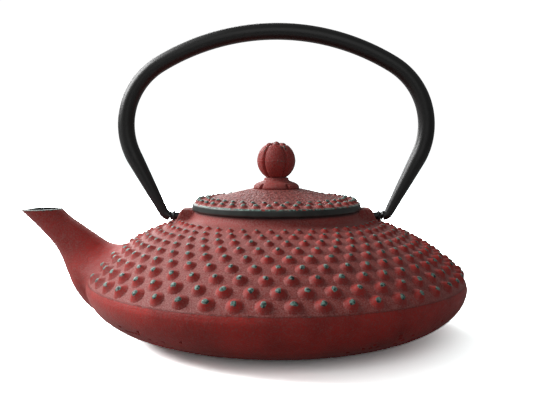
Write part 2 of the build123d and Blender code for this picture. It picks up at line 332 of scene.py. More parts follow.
@dataclass(frozen=True)
class RedEnamelledIron:
    """Sand-cast iron under a thin matte red fired coat, rubbed back on its high spots.

    To the eye it is a dry, chalky red with a rose-grey bloom in its hollows and
    grey-green oxide on its high spots; the bloom is dust, and partly painted sheen.
    Each piece says where, from 0 to 1, in five attributes: how much bloom; wear, for
    oxide; pebble, for the lid's rough skin and the painted shade in its seams; belt, for
    the stretch of ledge with a dark line of painted shadow; and rim, where the black
    lining runs over the edge and also paints the shadow under the lid's overhang.
    """

    deep: str = "8a1710"
    coat: str = "ab231c"
    speck: str = "3a2220"
    # The bloom: dust, and partly painted sheen.
    bloom_and_sheen: str = "925853"
    bloom_and_sheen_dark: str = "702a26"
    # The pebble seams' darker red, a painted shade.
    seam: str = "4a1512"
    # The ledge's dark line, a painted shadow.
    ledge_shadow_and_wear: str = "3a100e"
    # The black band under the lid's edge: enamel over the rim, and painted shadow.
    overrun_and_shadow: str = "0e1011"
    oxide: str = "66877d"
    oxide_dark: str = "161d1b"
    sheen: str = "d8b4ae"
    roughness: float = 0.58
    worn_roughness: float = 0.32
    specular: float = 0.28
    sheen_weight: float = 0.22
    sheen_roughness: float = 0.4
    ledge_mm: float = 28.7
    hairline_mm: float = 0.4
    pebble_mm: float = 1.35
    blotch_mm: float = 22.0
    brush_mm: float = 2.2
    # Casting sand has grains of about 0.3 mm; they are drawn twice as coarse, to show.
    grain_mm: float = 0.6
    mottle_mm: float = 1.1
    bump: float = 0.6
    bump_mm: float = 0.16

    def build(self) -> bpy.types.Material:
        """Build the material.

        Returns:
            The finished material.
        """
        material, node = new_material("matte_red_enamel_on_cast_iron")
        place = node("ShaderNodeTexCoord").outputs["Object"]
        height = node("ShaderNodeSeparateXYZ", [place]).outputs["Z"]
        dust_and_sheen, wear, pebble, belt, rim = (
            node("ShaderNodeAttribute", attribute_name=name).outputs["Fac"]
            for name in ("dust_and_sheen", "wear", "pebble", "belt", "rim")
        )
        # Noise of each size, stretched so that low to high becomes 0 to 1.
        blotch, brush, grain, mottle = (
            node("ShaderNodeMapRange", {
                "Value": node("ShaderNodeTexNoise", {
                    "Vector": place, "Scale": 1 / (size * MM), "Detail": detail,
                }),
                "From Min": low, "From Max": high,
            })
            for size, detail, low, high in (
                (self.blotch_mm, 2.0, 0.35, 0.65), (self.brush_mm, 5.0, 0.3, 0.7),
                (self.grain_mm, 3.0, 0.35, 0.65), (self.mottle_mm, 3.0, 0.4, 0.62),
            )
        )
        # Bloom lies on the ground between the dots, in fine grains, and hardly below the ledge; it
        # is dust, and partly painted sheen.
        above = node("ShaderNodeMapRange", {
            "Value": height, "From Min": (self.ledge_mm - 0.25) * MM,
            "From Max": (self.ledge_mm + 0.25) * MM, "To Min": 0.12,
        })
        depth = node("MULTIPLY_ADD", [brush, 0.3, node("MULTIPLY", [dust_and_sheen, above])])
        lying_and_sheen = node("ShaderNodeMapRange", {
            "Value": node("MULTIPLY_ADD", [grain, 0.35, depth]),
            "From Min": 0.3, "From Max": 1.35, "To Max": 0.95,
        })
        # The lid's skin is cast with small pebbles; the seams between them are sunk in the bump and
        # darkened as painted shade.
        cell = node("ShaderNodeTexVoronoi", {"Vector": place, "Scale": 1 / (self.pebble_mm * MM)})
        seam = node("ShaderNodeMapRange", {"Value": cell, "From Min": 0.35, "From Max": 0.75})
        seam = node("MULTIPLY", [seam, pebble])
        # A dark line along the belt's ledge is painted shadow; the same line also helps rub the
        # coat through to oxide.
        away = node("ABSOLUTE", [node("SUBTRACT", [height, self.ledge_mm * MM])])
        ledge_shadow_and_wear = node("ShaderNodeMapRange", {
            "Value": away, "From Max": self.hairline_mm * MM, "To Min": 1.0, "To Max": 0.0,
        })
        ledge_shadow_and_wear = node("MULTIPLY", [ledge_shadow_and_wear, belt])
        # Oxide shows where the coat is rubbed through.
        thin = node("MULTIPLY_ADD", [ledge_shadow_and_wear, 0.42, node("MULTIPLY_ADD", [brush, 0.6, wear])])
        rubbed = node(
            "ShaderNodeMapRange", {"Value": thin, "From Min": 0.82, "From Max": 0.98},
            interpolation_type="SMOOTHSTEP",
        )
        bloom_and_sheen, patina = (
            node("ShaderNodeMix", {0: share, 6: linear(a), 7: linear(b)}, data_type="RGBA")
            for share, a, b in (
                (grain, self.bloom_and_sheen_dark, self.bloom_and_sheen), (mottle, self.oxide, self.oxide_dark)
            )
        )
        # Each layer lies over the ones before it. The bloom is dust and painted sheen, the seam and
        # ledge layers are painted shade, and the rim layer is black enamel that also paints shadow.
        colour = linear(self.deep)
        for share, tint in (
            (blotch, linear(self.coat)),
            (node("MULTIPLY", [grain, 0.32]), linear(self.speck)),
            (lying_and_sheen, bloom_and_sheen),
            (node("MULTIPLY", [seam, 0.75]), linear(self.seam)),
            (node("MULTIPLY", [ledge_shadow_and_wear, 0.45]), linear(self.ledge_shadow_and_wear)),
            (rim, linear(self.overrun_and_shadow)),
            (rubbed, patina),
        ):
            colour = node("ShaderNodeMix", {0: share, 6: colour, 7: tint}, data_type="RGBA")
        relief = node("MULTIPLY_ADD", [brush, 0.6, grain])
        shader = node("ShaderNodeBsdfPrincipled", {
            "Base Color": colour,
            "Roughness": node("ShaderNodeMapRange", {
                "Value": rubbed, "To Min": self.roughness, "To Max": self.worn_roughness,
            }),
            "Normal": node("ShaderNodeBump", {
                "Height": node("MULTIPLY_ADD", [seam, -3.5, relief]),
                "Strength": self.bump, "Distance": self.bump_mm * MM,
            }),
            "Specular IOR Level": self.specular,
            "Sheen Weight": self.sheen_weight,
            "Sheen Roughness": self.sheen_roughness,
            "Sheen Tint": linear(self.sheen),
        })
        node("ShaderNodeOutputMaterial", {"Surface": shader})
        return material


@dataclass(frozen=True)
class FineFinish:
    """A finish whose tone, and its gloss and skin where they vary, follow a fine noise.

    The grain is the noise's size, and drawn is how many times finer it is along Z. The
    gloss is the least and the greatest roughness, in patches of gloss_mm if that is set.
    """

    name: str
    first: str
    second: str
    grain_mm: float
    detail: float
    gloss: tuple[float, float]
    gloss_mm: float = 0.0
    drawn: float = 1.0
    bump: float = 0.0
    bump_mm: float = 0.1
    metallic: float = 0.0

    def build(self) -> bpy.types.Material:
        """Build the material.

        Returns:
            The finished material.
        """
        material, node = new_material(self.name)
        place = node("ShaderNodeTexCoord").outputs["Object"]
        along = node("ShaderNodeMapping", {"Vector": place, "Scale": (1.0, 1.0, self.drawn)})
        grain = node("ShaderNodeTexNoise", {
            "Vector": along, "Scale": 1 / (self.grain_mm * MM), "Detail": self.detail,
        })
        ends = {0: grain, 6: linear(self.first), 7: linear(self.second)}
        inputs = {
            "Base Color": node("ShaderNodeMix", ends, data_type="RGBA"),
            "Roughness": self.gloss[0],
            "Metallic": self.metallic,
        }
        if self.gloss[0] != self.gloss[1]:
            patches = grain
            if self.gloss_mm:
                scale = 1 / (self.gloss_mm * MM)
                patches = node("ShaderNodeTexNoise", {"Vector": place, "Scale": scale})
            inputs["Roughness"] = node("ShaderNodeMapRange", {
                "Value": patches, "To Min": self.gloss[0], "To Max": self.gloss[1],
            })
        if self.bump:
            inputs["Normal"] = node("ShaderNodeBump", {
                "Height": grain, "Strength": self.bump, "Distance": self.bump_mm * MM,
            })
        shader = node("ShaderNodeBsdfPrincipled", inputs)
        node("ShaderNodeOutputMaterial", {"Surface": shader})
        return material


class Finishes:
    """Every finish on the teapot, built once."""

    def __init__(self) -> None:
        """Build the materials."""
        self.red = RedEnamelledIron().build()
        # Forged rod under satin lacquer: near black, with a soft grey glow and fine pits.
        self.black = FineFinish(
            "satin_black_lacquer_on_iron", "080808", "0f0f0e", 0.9, 4.0, (0.3, 0.48),
            gloss_mm=14.0, bump=0.4,
        ).build()
        # Fired glass on the inside: a wet-looking black with a slight orange-peel ripple.
        self.lining = FineFinish(
            "black_vitreous_enamel", "0e1011", "191c1d", 3.5, 2.0, (0.18, 0.18),
            bump=0.25, bump_mm=0.2,
        ).build()
        # Iron with its coat rubbed away: dark grey with a green cast, in lighter patches.
        self.bare = FineFinish(
            "bare_grey_iron", "0a0d0c", "363d3a", 5.0, 6.0, (0.42, 0.42), bump=0.4, bump_mm=0.12
        ).build()
        # Pressed sheet: bright, with faint draw marks round the press.
        self.trim = FineFinish(
            "pressed_stainless_steel", "b9b8b4", "a3a29e", 4.0, 4.0, (0.18, 0.42),
            drawn=14.0, metallic=1.0,
        ).build()
        # Drawn wire: a little greyer and duller than the sheet.
        self.wire = FineFinish(
            "drawn_stainless_wire", "a9a9a6", "a3a29e", 4.0, 4.0, (0.24, 0.48),
            drawn=14.0, metallic=1.0,
        ).build()


# --------------------------------------------------------------------------
# The casting
# --------------------------------------------------------------------------
@dataclass
class Contour:
    """Meshes the zero level of a distance field, with its sharp edges kept.

    Each cell that the surface crosses gets one vertex, placed where the tangent
    planes at its edge crossings meet, and each crossed edge gets one quad.
    """

    axes: list[np.ndarray]
    tension: float = 0.08

    def mesh(self, distance: Field) -> tuple[np.ndarray, np.ndarray]:
        """Mesh a field.

        Args:
            distance: Function from an array of points to signed distances, negative inside.

        Returns:
            Vertex places and the quads that join them.
        """
        counts = np.array([len(axis) for axis in self.axes])
        lattice = np.stack(np.meshgrid(*self.axes, indexing="ij"), axis=-1)
        values = distance(lattice.reshape(-1, 3)).reshape(counts)
        cells, hits, normals, quads = [], [], [], []
        cell_counts = counts - 1
        for axis in range(3):
            near = values[tuple(slice(0, -1) if a == axis else slice(1, -1) for a in range(3))]
            far = values[tuple(slice(1, None) if a == axis else slice(1, -1) for a in range(3))]
            where = np.argwhere((near < 0) != (far < 0))
            start, end = near[tuple(where.T)], far[tuple(where.T)]
            index = where + np.array([0 if a == axis else 1 for a in range(3)])
            origin = self._corner(index)
            ahead = self._corner(index + np.eye(3, dtype=int)[axis])
            step = ahead - origin
            place = self._crossing(distance, origin, step, start, end)
            slope = self._slope(distance, place)
            first, second = (np.eye(3, dtype=int)[(axis + k) % 3] for k in (1, 2))
            ring = [index - first - second, index - second, index, index - first]
            ids = np.stack([np.ravel_multi_index(r.T, cell_counts) for r in ring], axis=1)
            quads.append(np.where((start < 0)[:, None], ids, ids[:, ::-1]))
            cells.append(ids.T.ravel())
            hits.append(np.tile(place, (4, 1)))
            normals.append(np.tile(slope, (4, 1)))
        return self._solve(
            np.concatenate(cells), np.concatenate(hits), np.concatenate(normals),
            np.concatenate(quads), cell_counts,
        )

    def _crossing(
        self,
        distance: Field,
        origin: np.ndarray,
        step: np.ndarray,
        start: np.ndarray,
        end: np.ndarray,
    ) -> np.ndarray:
        """Find where the field is zero along each crossed edge.

        Args:
            distance: The field.
            origin: The near end of each edge.
            step: From the near end to the far end.
            start: The field's value at the near end.
            end: The field's value at the far end.

        Returns:
            One place on each edge.
        """
        low, high = np.zeros(len(start)), np.ones(len(start))
        f_low, f_high = start.copy(), end.copy()
        for _ in range(3):
            share = low + (high - low) * np.clip(f_low / (f_low - f_high), 0.05, 0.95)
            value = distance(origin + step * share[:, None])
            same = (value < 0) == (f_low < 0)
            low, f_low = np.where(same, share, low), np.where(same, value, f_low)
            high, f_high = np.where(same, high, share), np.where(same, f_high, value)
        share = low + (high - low) * f_low / (f_low - f_high)
        return origin + step * share[:, None]

    def _corner(self, index: np.ndarray) -> np.ndarray:
        """The grid points at the given indices."""
        return np.stack([self.axes[a][index[:, a]] for a in range(3)], axis=1)

    def _slope(self, distance: Field, place: np.ndarray) -> np.ndarray:
        """The unit normal of the field at each place.

        Args:
            distance: The field.
            place: Places on the surface.

        Returns:
            One unit vector for each place.
        """
        reach = 0.02
        parts = [
            distance(place + np.eye(3)[a] * reach) - distance(place - np.eye(3)[a] * reach)
            for a in range(3)
        ]
        slope = np.stack(parts, axis=1)
        return slope / np.maximum(np.linalg.norm(slope, axis=1, keepdims=True), 1e-9)

    def _solve(
        self,
        cells: np.ndarray,
        hits: np.ndarray,
        normals: np.ndarray,
        quads: np.ndarray,
        cell_counts: np.ndarray,
    ) -> tuple[np.ndarray, np.ndarray]:
        """Place one vertex in each crossed cell and renumber the quads to match.

        Args:
            cells: Number of the cell that each crossing belongs to.
            hits: Place of each crossing.
            normals: The field's normal there.
            quads: Cells at the corners of each quad.
            cell_counts: Number of cells along each axis.

        Returns:
            Vertex places and renumbered quads.
        """
        used, inverse = np.unique(cells, return_inverse=True)
        total = len(used)
        count = np.bincount(inverse, minlength=total)
        mean = np.stack(
            [np.bincount(inverse, hits[:, a], total) for a in range(3)], axis=1
        ) / count[:, None]
        offset = np.einsum("ij,ij->i", normals, hits - mean[inverse])
        right = np.stack(
            [np.bincount(inverse, normals[:, a] * offset, total) for a in range(3)], axis=1
        )
        left = np.zeros((total, 3, 3))
        for a in range(3):
            for b in range(3):
                left[:, a, b] = np.bincount(inverse, normals[:, a] * normals[:, b], total)
            left[:, a, a] += self.tension
        shift = np.linalg.solve(left, right[..., None])[..., 0]
        index = np.stack(np.unravel_index(used, cell_counts), axis=1)
        places = np.clip(mean + shift, self._corner(index), self._corner(index + 1))
        return places, np.searchsorted(used, quads)


@dataclass
class Spout:
    """The spout as a run of elliptical sections between a lower and an upper edge line.

    Each edge line is points of (x, z), from the lip to the root inside the bowl.
    """

    lower: tuple[tuple[float, float], ...] = (
        (-142.6, 72.5), (-133.2, 63.4), (-123.9, 54.3), (-116.4, 46.0), (-112.1, 38.5),
        (-109.0, 30.5), (-104.3, 20.5), (-95.2, 11.0), (-80.0, 7.5),
    )
    upper: tuple[tuple[float, float], ...] = (
        (-117.0, 68.6), (-112.0, 64.0), (-107.0, 59.4), (-100.2, 54.6), (-92.6, 49.2),
        (-84.0, 43.6), (-75.0, 41.5), (-64.0, 36.5), (-54.0, 27.0),
    )
    half_width: tuple[float, ...] = (9.0, 8.8, 8.4, 8.8, 10.4, 13.6, 17.0, 19.5, 20.0)
    sections: int = 96

    def __post_init__(self) -> None:
        """Run smooth curves through the given sections."""
        knots = np.arange(len(self.lower))
        fine = np.linspace(0, len(self.lower) - 1, self.sections)
        low, high = (
            np.stack([self._smooth(knots, np.array(line)[:, k], fine) for k in (0, 1)], 1)
            for line in (self.lower, self.upper)
        )
        self.middle = (low + high) / 2
        run = high - low
        self.half_length = np.linalg.norm(run, axis=1) / 2
        self.across = run / (2 * self.half_length[:, None])
        self.width = self._smooth(knots, np.array(self.half_width), fine)

    @staticmethod
    def _smooth(knots: np.ndarray, values: np.ndarray, fine: np.ndarray) -> np.ndarray:
        """Interpolate through the values with a cubic whose slopes are centred differences.

        Args:
            knots: Numbers of the given sections.
            values: The value at each of them.
            fine: Where to read the curve, in section numbers.

        Returns:
            The value at each fine place.
        """
        slope = np.gradient(values)
        k = np.clip(fine.astype(int), 0, len(knots) - 2)
        t = fine - k
        a, b, sa, sb = values[k], values[k + 1], slope[k], slope[k + 1]
        return (
            (2 * t**3 - 3 * t**2 + 1) * a + (t**3 - 2 * t**2 + t) * sa
            + (3 * t**2 - 2 * t**3) * b + (t**3 - t**2) * sb
        )

    def distance(self, points: np.ndarray, inset: float = 0.0) -> np.ndarray:
        """Signed distance, roughly, to the spout's wall moved inwards by the inset.

        Args:
            points: Places in millimetres.
            inset: How far inside the outer wall the surface lies.

        Returns:
            One distance for each point, negative inside.
        """
        flat = points[:, [0, 2]]
        best = np.full(len(points), 1e3)
        normal = np.stack([self.across[:, 1], -self.across[:, 0]], axis=1)
        last = np.einsum("ij,j->i", flat - self.middle[0], normal[0])
        for k in range(1, self.sections):
            offset = np.einsum("ij,j->i", flat - self.middle[k], normal[k])
            between = (last <= 0) != (offset <= 0)
            if between.any():
                share = (last[between] / (last[between] - offset[between]))[:, None]
                middle, across, half, width = (
                    row[k - 1] + (row[k] - row[k - 1]) * share
                    for row in (
                        self.middle, self.across, self.half_length[:, None], self.width[:, None]
                    )
                )
                along = np.einsum("ij,ij->i", flat[between] - middle, across)
                a, b = half[:, 0] - inset, width[:, 0] - inset
                reach = np.hypot(along / a, points[between, 1] / b)
                best[between] = np.minimum(best[between], (reach - 1) * np.minimum(a, b))
            last = offset
        # Past the root the field grows with the distance from the last section.
        a, b = self.half_length[-1] - inset, self.width[-1] - inset
        along = (flat - self.middle[-1]) @ self.across[-1]
        beside = np.maximum((np.hypot(along / a, points[:, 1] / b) - 1) * min(a, b), 0)
        return np.where(last > 0, np.hypot(beside, last), np.maximum(best, last))


@dataclass
class PotCasting:
    """The one-piece casting: bowl, dotted dome, neck, two lugs and spout, with its lining."""

    finishes: Finishes
    belt_z: float = 26.0
    foot_r: float = 50.7
    foot_h: float = 1.2
    wall: float = 3.0
    floor_z: float = 3.5
    dome_r: float = 105.2
    dome_centre: tuple[float, float] = (20.5, -43.6)
    ledge_z: float = 28.7
    ledge_inset: float = 1.15
    belt_slant: float = 0.22
    neck_r: float = 42.5
    neck_z: float = 52.0
    neck_fillet: float = 4.5
    mouth_r: float = 35.6
    recess_r: float = 38.6
    recess_z: float = 61.9
    rim_z: float = 63.3
    enamel_and_shadow_z: float = 62.2
    enamel_and_shadow_r: float = 43.2
    lip: tuple[float, float] = (-121.4, 63.7)
    lip_slope: float = 0.028
    lug_width: float = 12.5
    lug_top: float = 64.1
    lug_face_x: float = 49.0
    lug_rounding: float = 1.4
    bore_r: float = 2.0
    bore_in: float = 45.0
    bore_out: float = 56.0
    hinge_z: float = 60.0
    # Along X, Y and Z, each stretch of the grid as its end and its spacing.
    spacing: tuple = (
        ((-88, 0.9), (110, 1.65)),
        ((-10, 1.65), (10, 1.05), (110, 1.65)),
        ((24, 1.65), (31, 0.7), (53, 1.5), (66, 0.9)),
    )
    spout: Spout = field(default_factory=Spout)

    def __post_init__(self) -> None:
        """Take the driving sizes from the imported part."""
        low, high = node_box("pot_body")
        self.body_r = high[1]
        self.box = (low, high)
        self.lid_r = node_box("lid")[1][0]

    def _dome(self, radius: np.ndarray, height: np.ndarray) -> np.ndarray:
        """Distance to the dome's arc in the section plane."""
        return np.hypot(radius - self.dome_centre[0], height - self.dome_centre[1]) - self.dome_r

    def _bowl(
        self, radius: np.ndarray, height: np.ndarray, inset: float, floor: float
    ) -> np.ndarray:
        """Distance, roughly, to the bowl's quarter ellipse, moved inwards by the inset.

        Args:
            radius: Distance of each place from the axis.
            height: Its height.
            inset: How far the side has moved inwards.
            floor: Height of the ellipse's lowest point.

        Returns:
            One distance for each place, negative inside.
        """
        a, b = self.body_r - inset - self.foot_r, self.belt_z - floor
        x = np.maximum(radius - self.foot_r, 0) / a
        z = np.minimum(height - self.belt_z, 0) / b
        reach = np.hypot(x, z)
        slope = np.hypot(x / a, z / b) / np.maximum(reach, 1e-6)
        return (reach - 1) / np.maximum(slope, 1 / max(a, b))

    def outer(self, p: np.ndarray) -> np.ndarray:
        """Signed distance to the outside of the casting, as if it were solid.

        Args:
            p: Places in millimetres.

        Returns:
            One distance for each place, negative inside.
        """
        radius, height = np.hypot(p[:, 0], p[:, 1]), p[:, 2]
        bowl = np.maximum(self._bowl(radius, height, 0, self.foot_h), height - self.ledge_z)
        side = radius - self.body_r + self.belt_slant * np.maximum(height - self.belt_z, 0)
        bowl = np.maximum(bowl, side)
        dome = np.maximum(self._dome(radius, height), radius - self.body_r + self.ledge_inset)
        dome = np.maximum(dome, self.belt_z - 4 - height)
        neck = np.maximum(radius - self.neck_r, self.neck_z - height)
        body = np.minimum(bowl, smooth_union(dome, neck, self.neck_fillet))
        foot = np.maximum(radius - self.foot_r + 0.3, height - 4)
        body = np.minimum(body, foot)
        near = p[:, 0] < -50
        if near.any():
            spout = np.full(len(p), 1e3)
            spout[near] = self.spout.distance(p[near])
            # The fillet is wide on the dome and dies away below the belt.
            blend = 2.0 + 8.0 * np.clip((height - self.belt_z + 2) / 8, 0, 1)
            body = smooth_union(body, spout, blend)
        body = smooth_union(body, self._lugs(p), 1.0)
        body = np.maximum(body, -height)
        lip = np.where(p[:, 0] < -100, self._lip_z(p), self.lug_top)
        seat = np.where(radius < self.lid_r + 0.5, self.rim_z, lip)
        return np.maximum(body, height - seat)

    def _lip_z(self, p: np.ndarray) -> np.ndarray:
        """Height of the spout's lip over each place."""
        return self.lip[1] + self.lip_slope * (p[:, 0] - self.lip[0])

    def _lugs(self, p: np.ndarray) -> np.ndarray:
        """Signed distance to the two lugs, each a slanting rounded block.

        Args:
            p: Places in millimetres.

        Returns:
            One distance for each place, negative inside.
        """
        x, y, z = np.abs(p[:, 0]), np.abs(p[:, 1]), p[:, 2]
        # The outer face leans out as it goes down; 0.91 makes its slope a true distance.
        face = (x - self.lug_face_x - (self.lug_top - z) * 0.455) * 0.91
        sides = np.stack([face, y - self.lug_width / 2, z - self.lug_top, 40.0 - x], axis=1)
        sides += self.lug_rounding
        outside = np.linalg.norm(np.maximum(sides, 0), axis=1)
        block = outside + np.minimum(sides.max(axis=1), 0) - self.lug_rounding
        return np.maximum(block, self.neck_z - z)

    def inner(self, p: np.ndarray) -> np.ndarray:
        """Signed distance to the space inside: cavity, mouth, recess and spout channel.

        Args:
            p: Places in millimetres.

        Returns:
            One distance for each place, negative in the space.
        """
        radius, height = np.hypot(p[:, 0], p[:, 1]), p[:, 2]
        cavity = np.maximum(
            self._bowl(radius, height, self.wall, self.floor_z), radius - self.body_r + self.wall
        )
        cavity = np.maximum(cavity, self._dome(radius, height) + self.wall)
        cavity = np.maximum(cavity, self.floor_z - height)
        mouth = np.maximum(radius - self.mouth_r, 50 - height)
        recess = np.maximum(radius - self.recess_r, self.recess_z - height)
        space = np.minimum(np.minimum(cavity, mouth), recess)
        near = p[:, 0] < -50
        if near.any():
            channel = np.full(len(p), 1e3)
            # The wall thickens below the lip.
            wall = 1.6 + 2.0 * np.clip((63.9 - p[near, 2]) / 4, 0, 1)
            channel[near] = np.maximum(
                self.spout.distance(p[near], 1.8), self.spout.distance(p[near]) + wall
            )
            space = smooth_union(space, channel, 2.0)
        return space

    def solid(self, p: np.ndarray) -> np.ndarray:
        """Signed distance to the finished casting.

        Args:
            p: Places in millimetres.

        Returns:
            One distance for each place, negative in the iron.
        """
        bore = np.hypot(p[:, 1], p[:, 2] - self.hinge_z) - self.bore_r
        reach = np.abs(p[:, 0])
        bore = np.maximum(bore, np.maximum(self.bore_in - reach, reach - self.bore_out))
        return np.maximum(self.outer(p), -np.minimum(self.inner(p), bore))

    def build(self) -> None:
        """Mesh the casting, mark its worn edges and its lining, and settle it."""
        places, quads = Contour(self._grid()).mesh(self.solid)
        piece = mesh_object("pot_casting", places, quads, sharp=38, merge=False)
        inside = np.abs(self.inner(places)) + 0.15 < np.abs(self.outer(places))
        inside &= self.outer(places) < -0.2
        set_attribute(piece, "wear", self._wear(places) * ~inside)
        on_spout = self._on_spout(places)
        radius = np.hypot(*places.T[:2])
        # Bloom is dust and painted sheen, with less of it on the spout; the neck under the lid and
        # the spout's root get less still, as painted shade that leaves them darker.
        under_lid_shade = np.clip((places[:, 2] - 56) / 3, 0, 1) * (radius < 45)
        spout_root_shade = on_spout * np.clip((places[:, 0] + 110) / 15, 0, 1)
        set_attribute(piece, "dust_and_sheen", 0.95 - 0.45 * on_spout - 0.35 * spout_root_shade - 0.2 * under_lid_shade)
        # The black enamel runs over the edge of the rim; its black band under the lid's edge is
        # also painted shadow of the lid's overhang.
        rim_enamel_and_shadow = np.clip((places[:, 2] - self.enamel_and_shadow_z) / 0.8, 0, 1) * (radius < self.enamel_and_shadow_r)
        set_attribute(piece, "rim", rim_enamel_and_shadow)
        set_attribute(piece, "belt", (1 - on_spout) * (radius > 94))
        self._roughen(piece, places, ~inside)
        dress(piece, self.finishes.red)
        piece.data.materials.append(self.finishes.lining)
        face_inside = inside[quads].mean(axis=1) > 0.4
        piece.data.polygons.foreach_set("material_index", face_inside.astype(np.int32))
        settle(piece, Body.POT, ("pot_body",))

    def _grid(self) -> list[np.ndarray]:
        """Grid lines along X, Y and Z, closer together at the spout, the ledge and the rim.

        Returns:
            The places of the grid lines along each axis.
        """
        axes = []
        for low, high, zones in zip(*self.box, self.spacing):
            line, lines = low - 3.37, []
            for end, step in zones:
                count = math.ceil((min(end, high + 3.4) - line) / step)
                lines.append(line + step * np.arange(count))
                line += step * count
            axes.append(np.concatenate(lines + [[line]]))
        return axes

    def _roughen(self, piece: bpy.types.Object, places: np.ndarray, outside: np.ndarray) -> None:
        """Give the outer skin the slight unevenness of a sand casting.

        Args:
            piece: The casting.
            places: Its vertex places.
            outside: True at each vertex of the outer skin.
        """
        normals = np.zeros(len(places) * 3)
        piece.data.vertex_normals.foreach_get("vector", normals)
        lift = 0.05 * bump_noise(places, 15.0) + 0.04 * bump_noise(places, 3.6)
        free = outside & (places[:, 2] > 1.5) & (places[:, 2] < 59)
        move_vertices(piece, places + normals.reshape(-1, 3) * (lift * free)[:, None])

    def _wear(self, p: np.ndarray) -> np.ndarray:
        """Share of coat that is rubbed through at each place on the outside."""
        return (p[:, 0] < -104) * np.clip(1 - (self._lip_z(p) - p[:, 2]) / 1.0, 0, 1)

    def _on_spout(self, p: np.ndarray) -> np.ndarray:
        """How far each place is on the spout, from 0 on the pot to 1.

        Args:
            p: Places in millimetres.

        Returns:
            One share for each place.
        """
        share = np.zeros(len(p))
        near = (p[:, 0] < -55) & (np.hypot(p[:, 0], p[:, 1]) > 70)
        share[near] = np.clip(1.3 - self.spout.distance(p[near]) / 8, 0, 1)
        return share


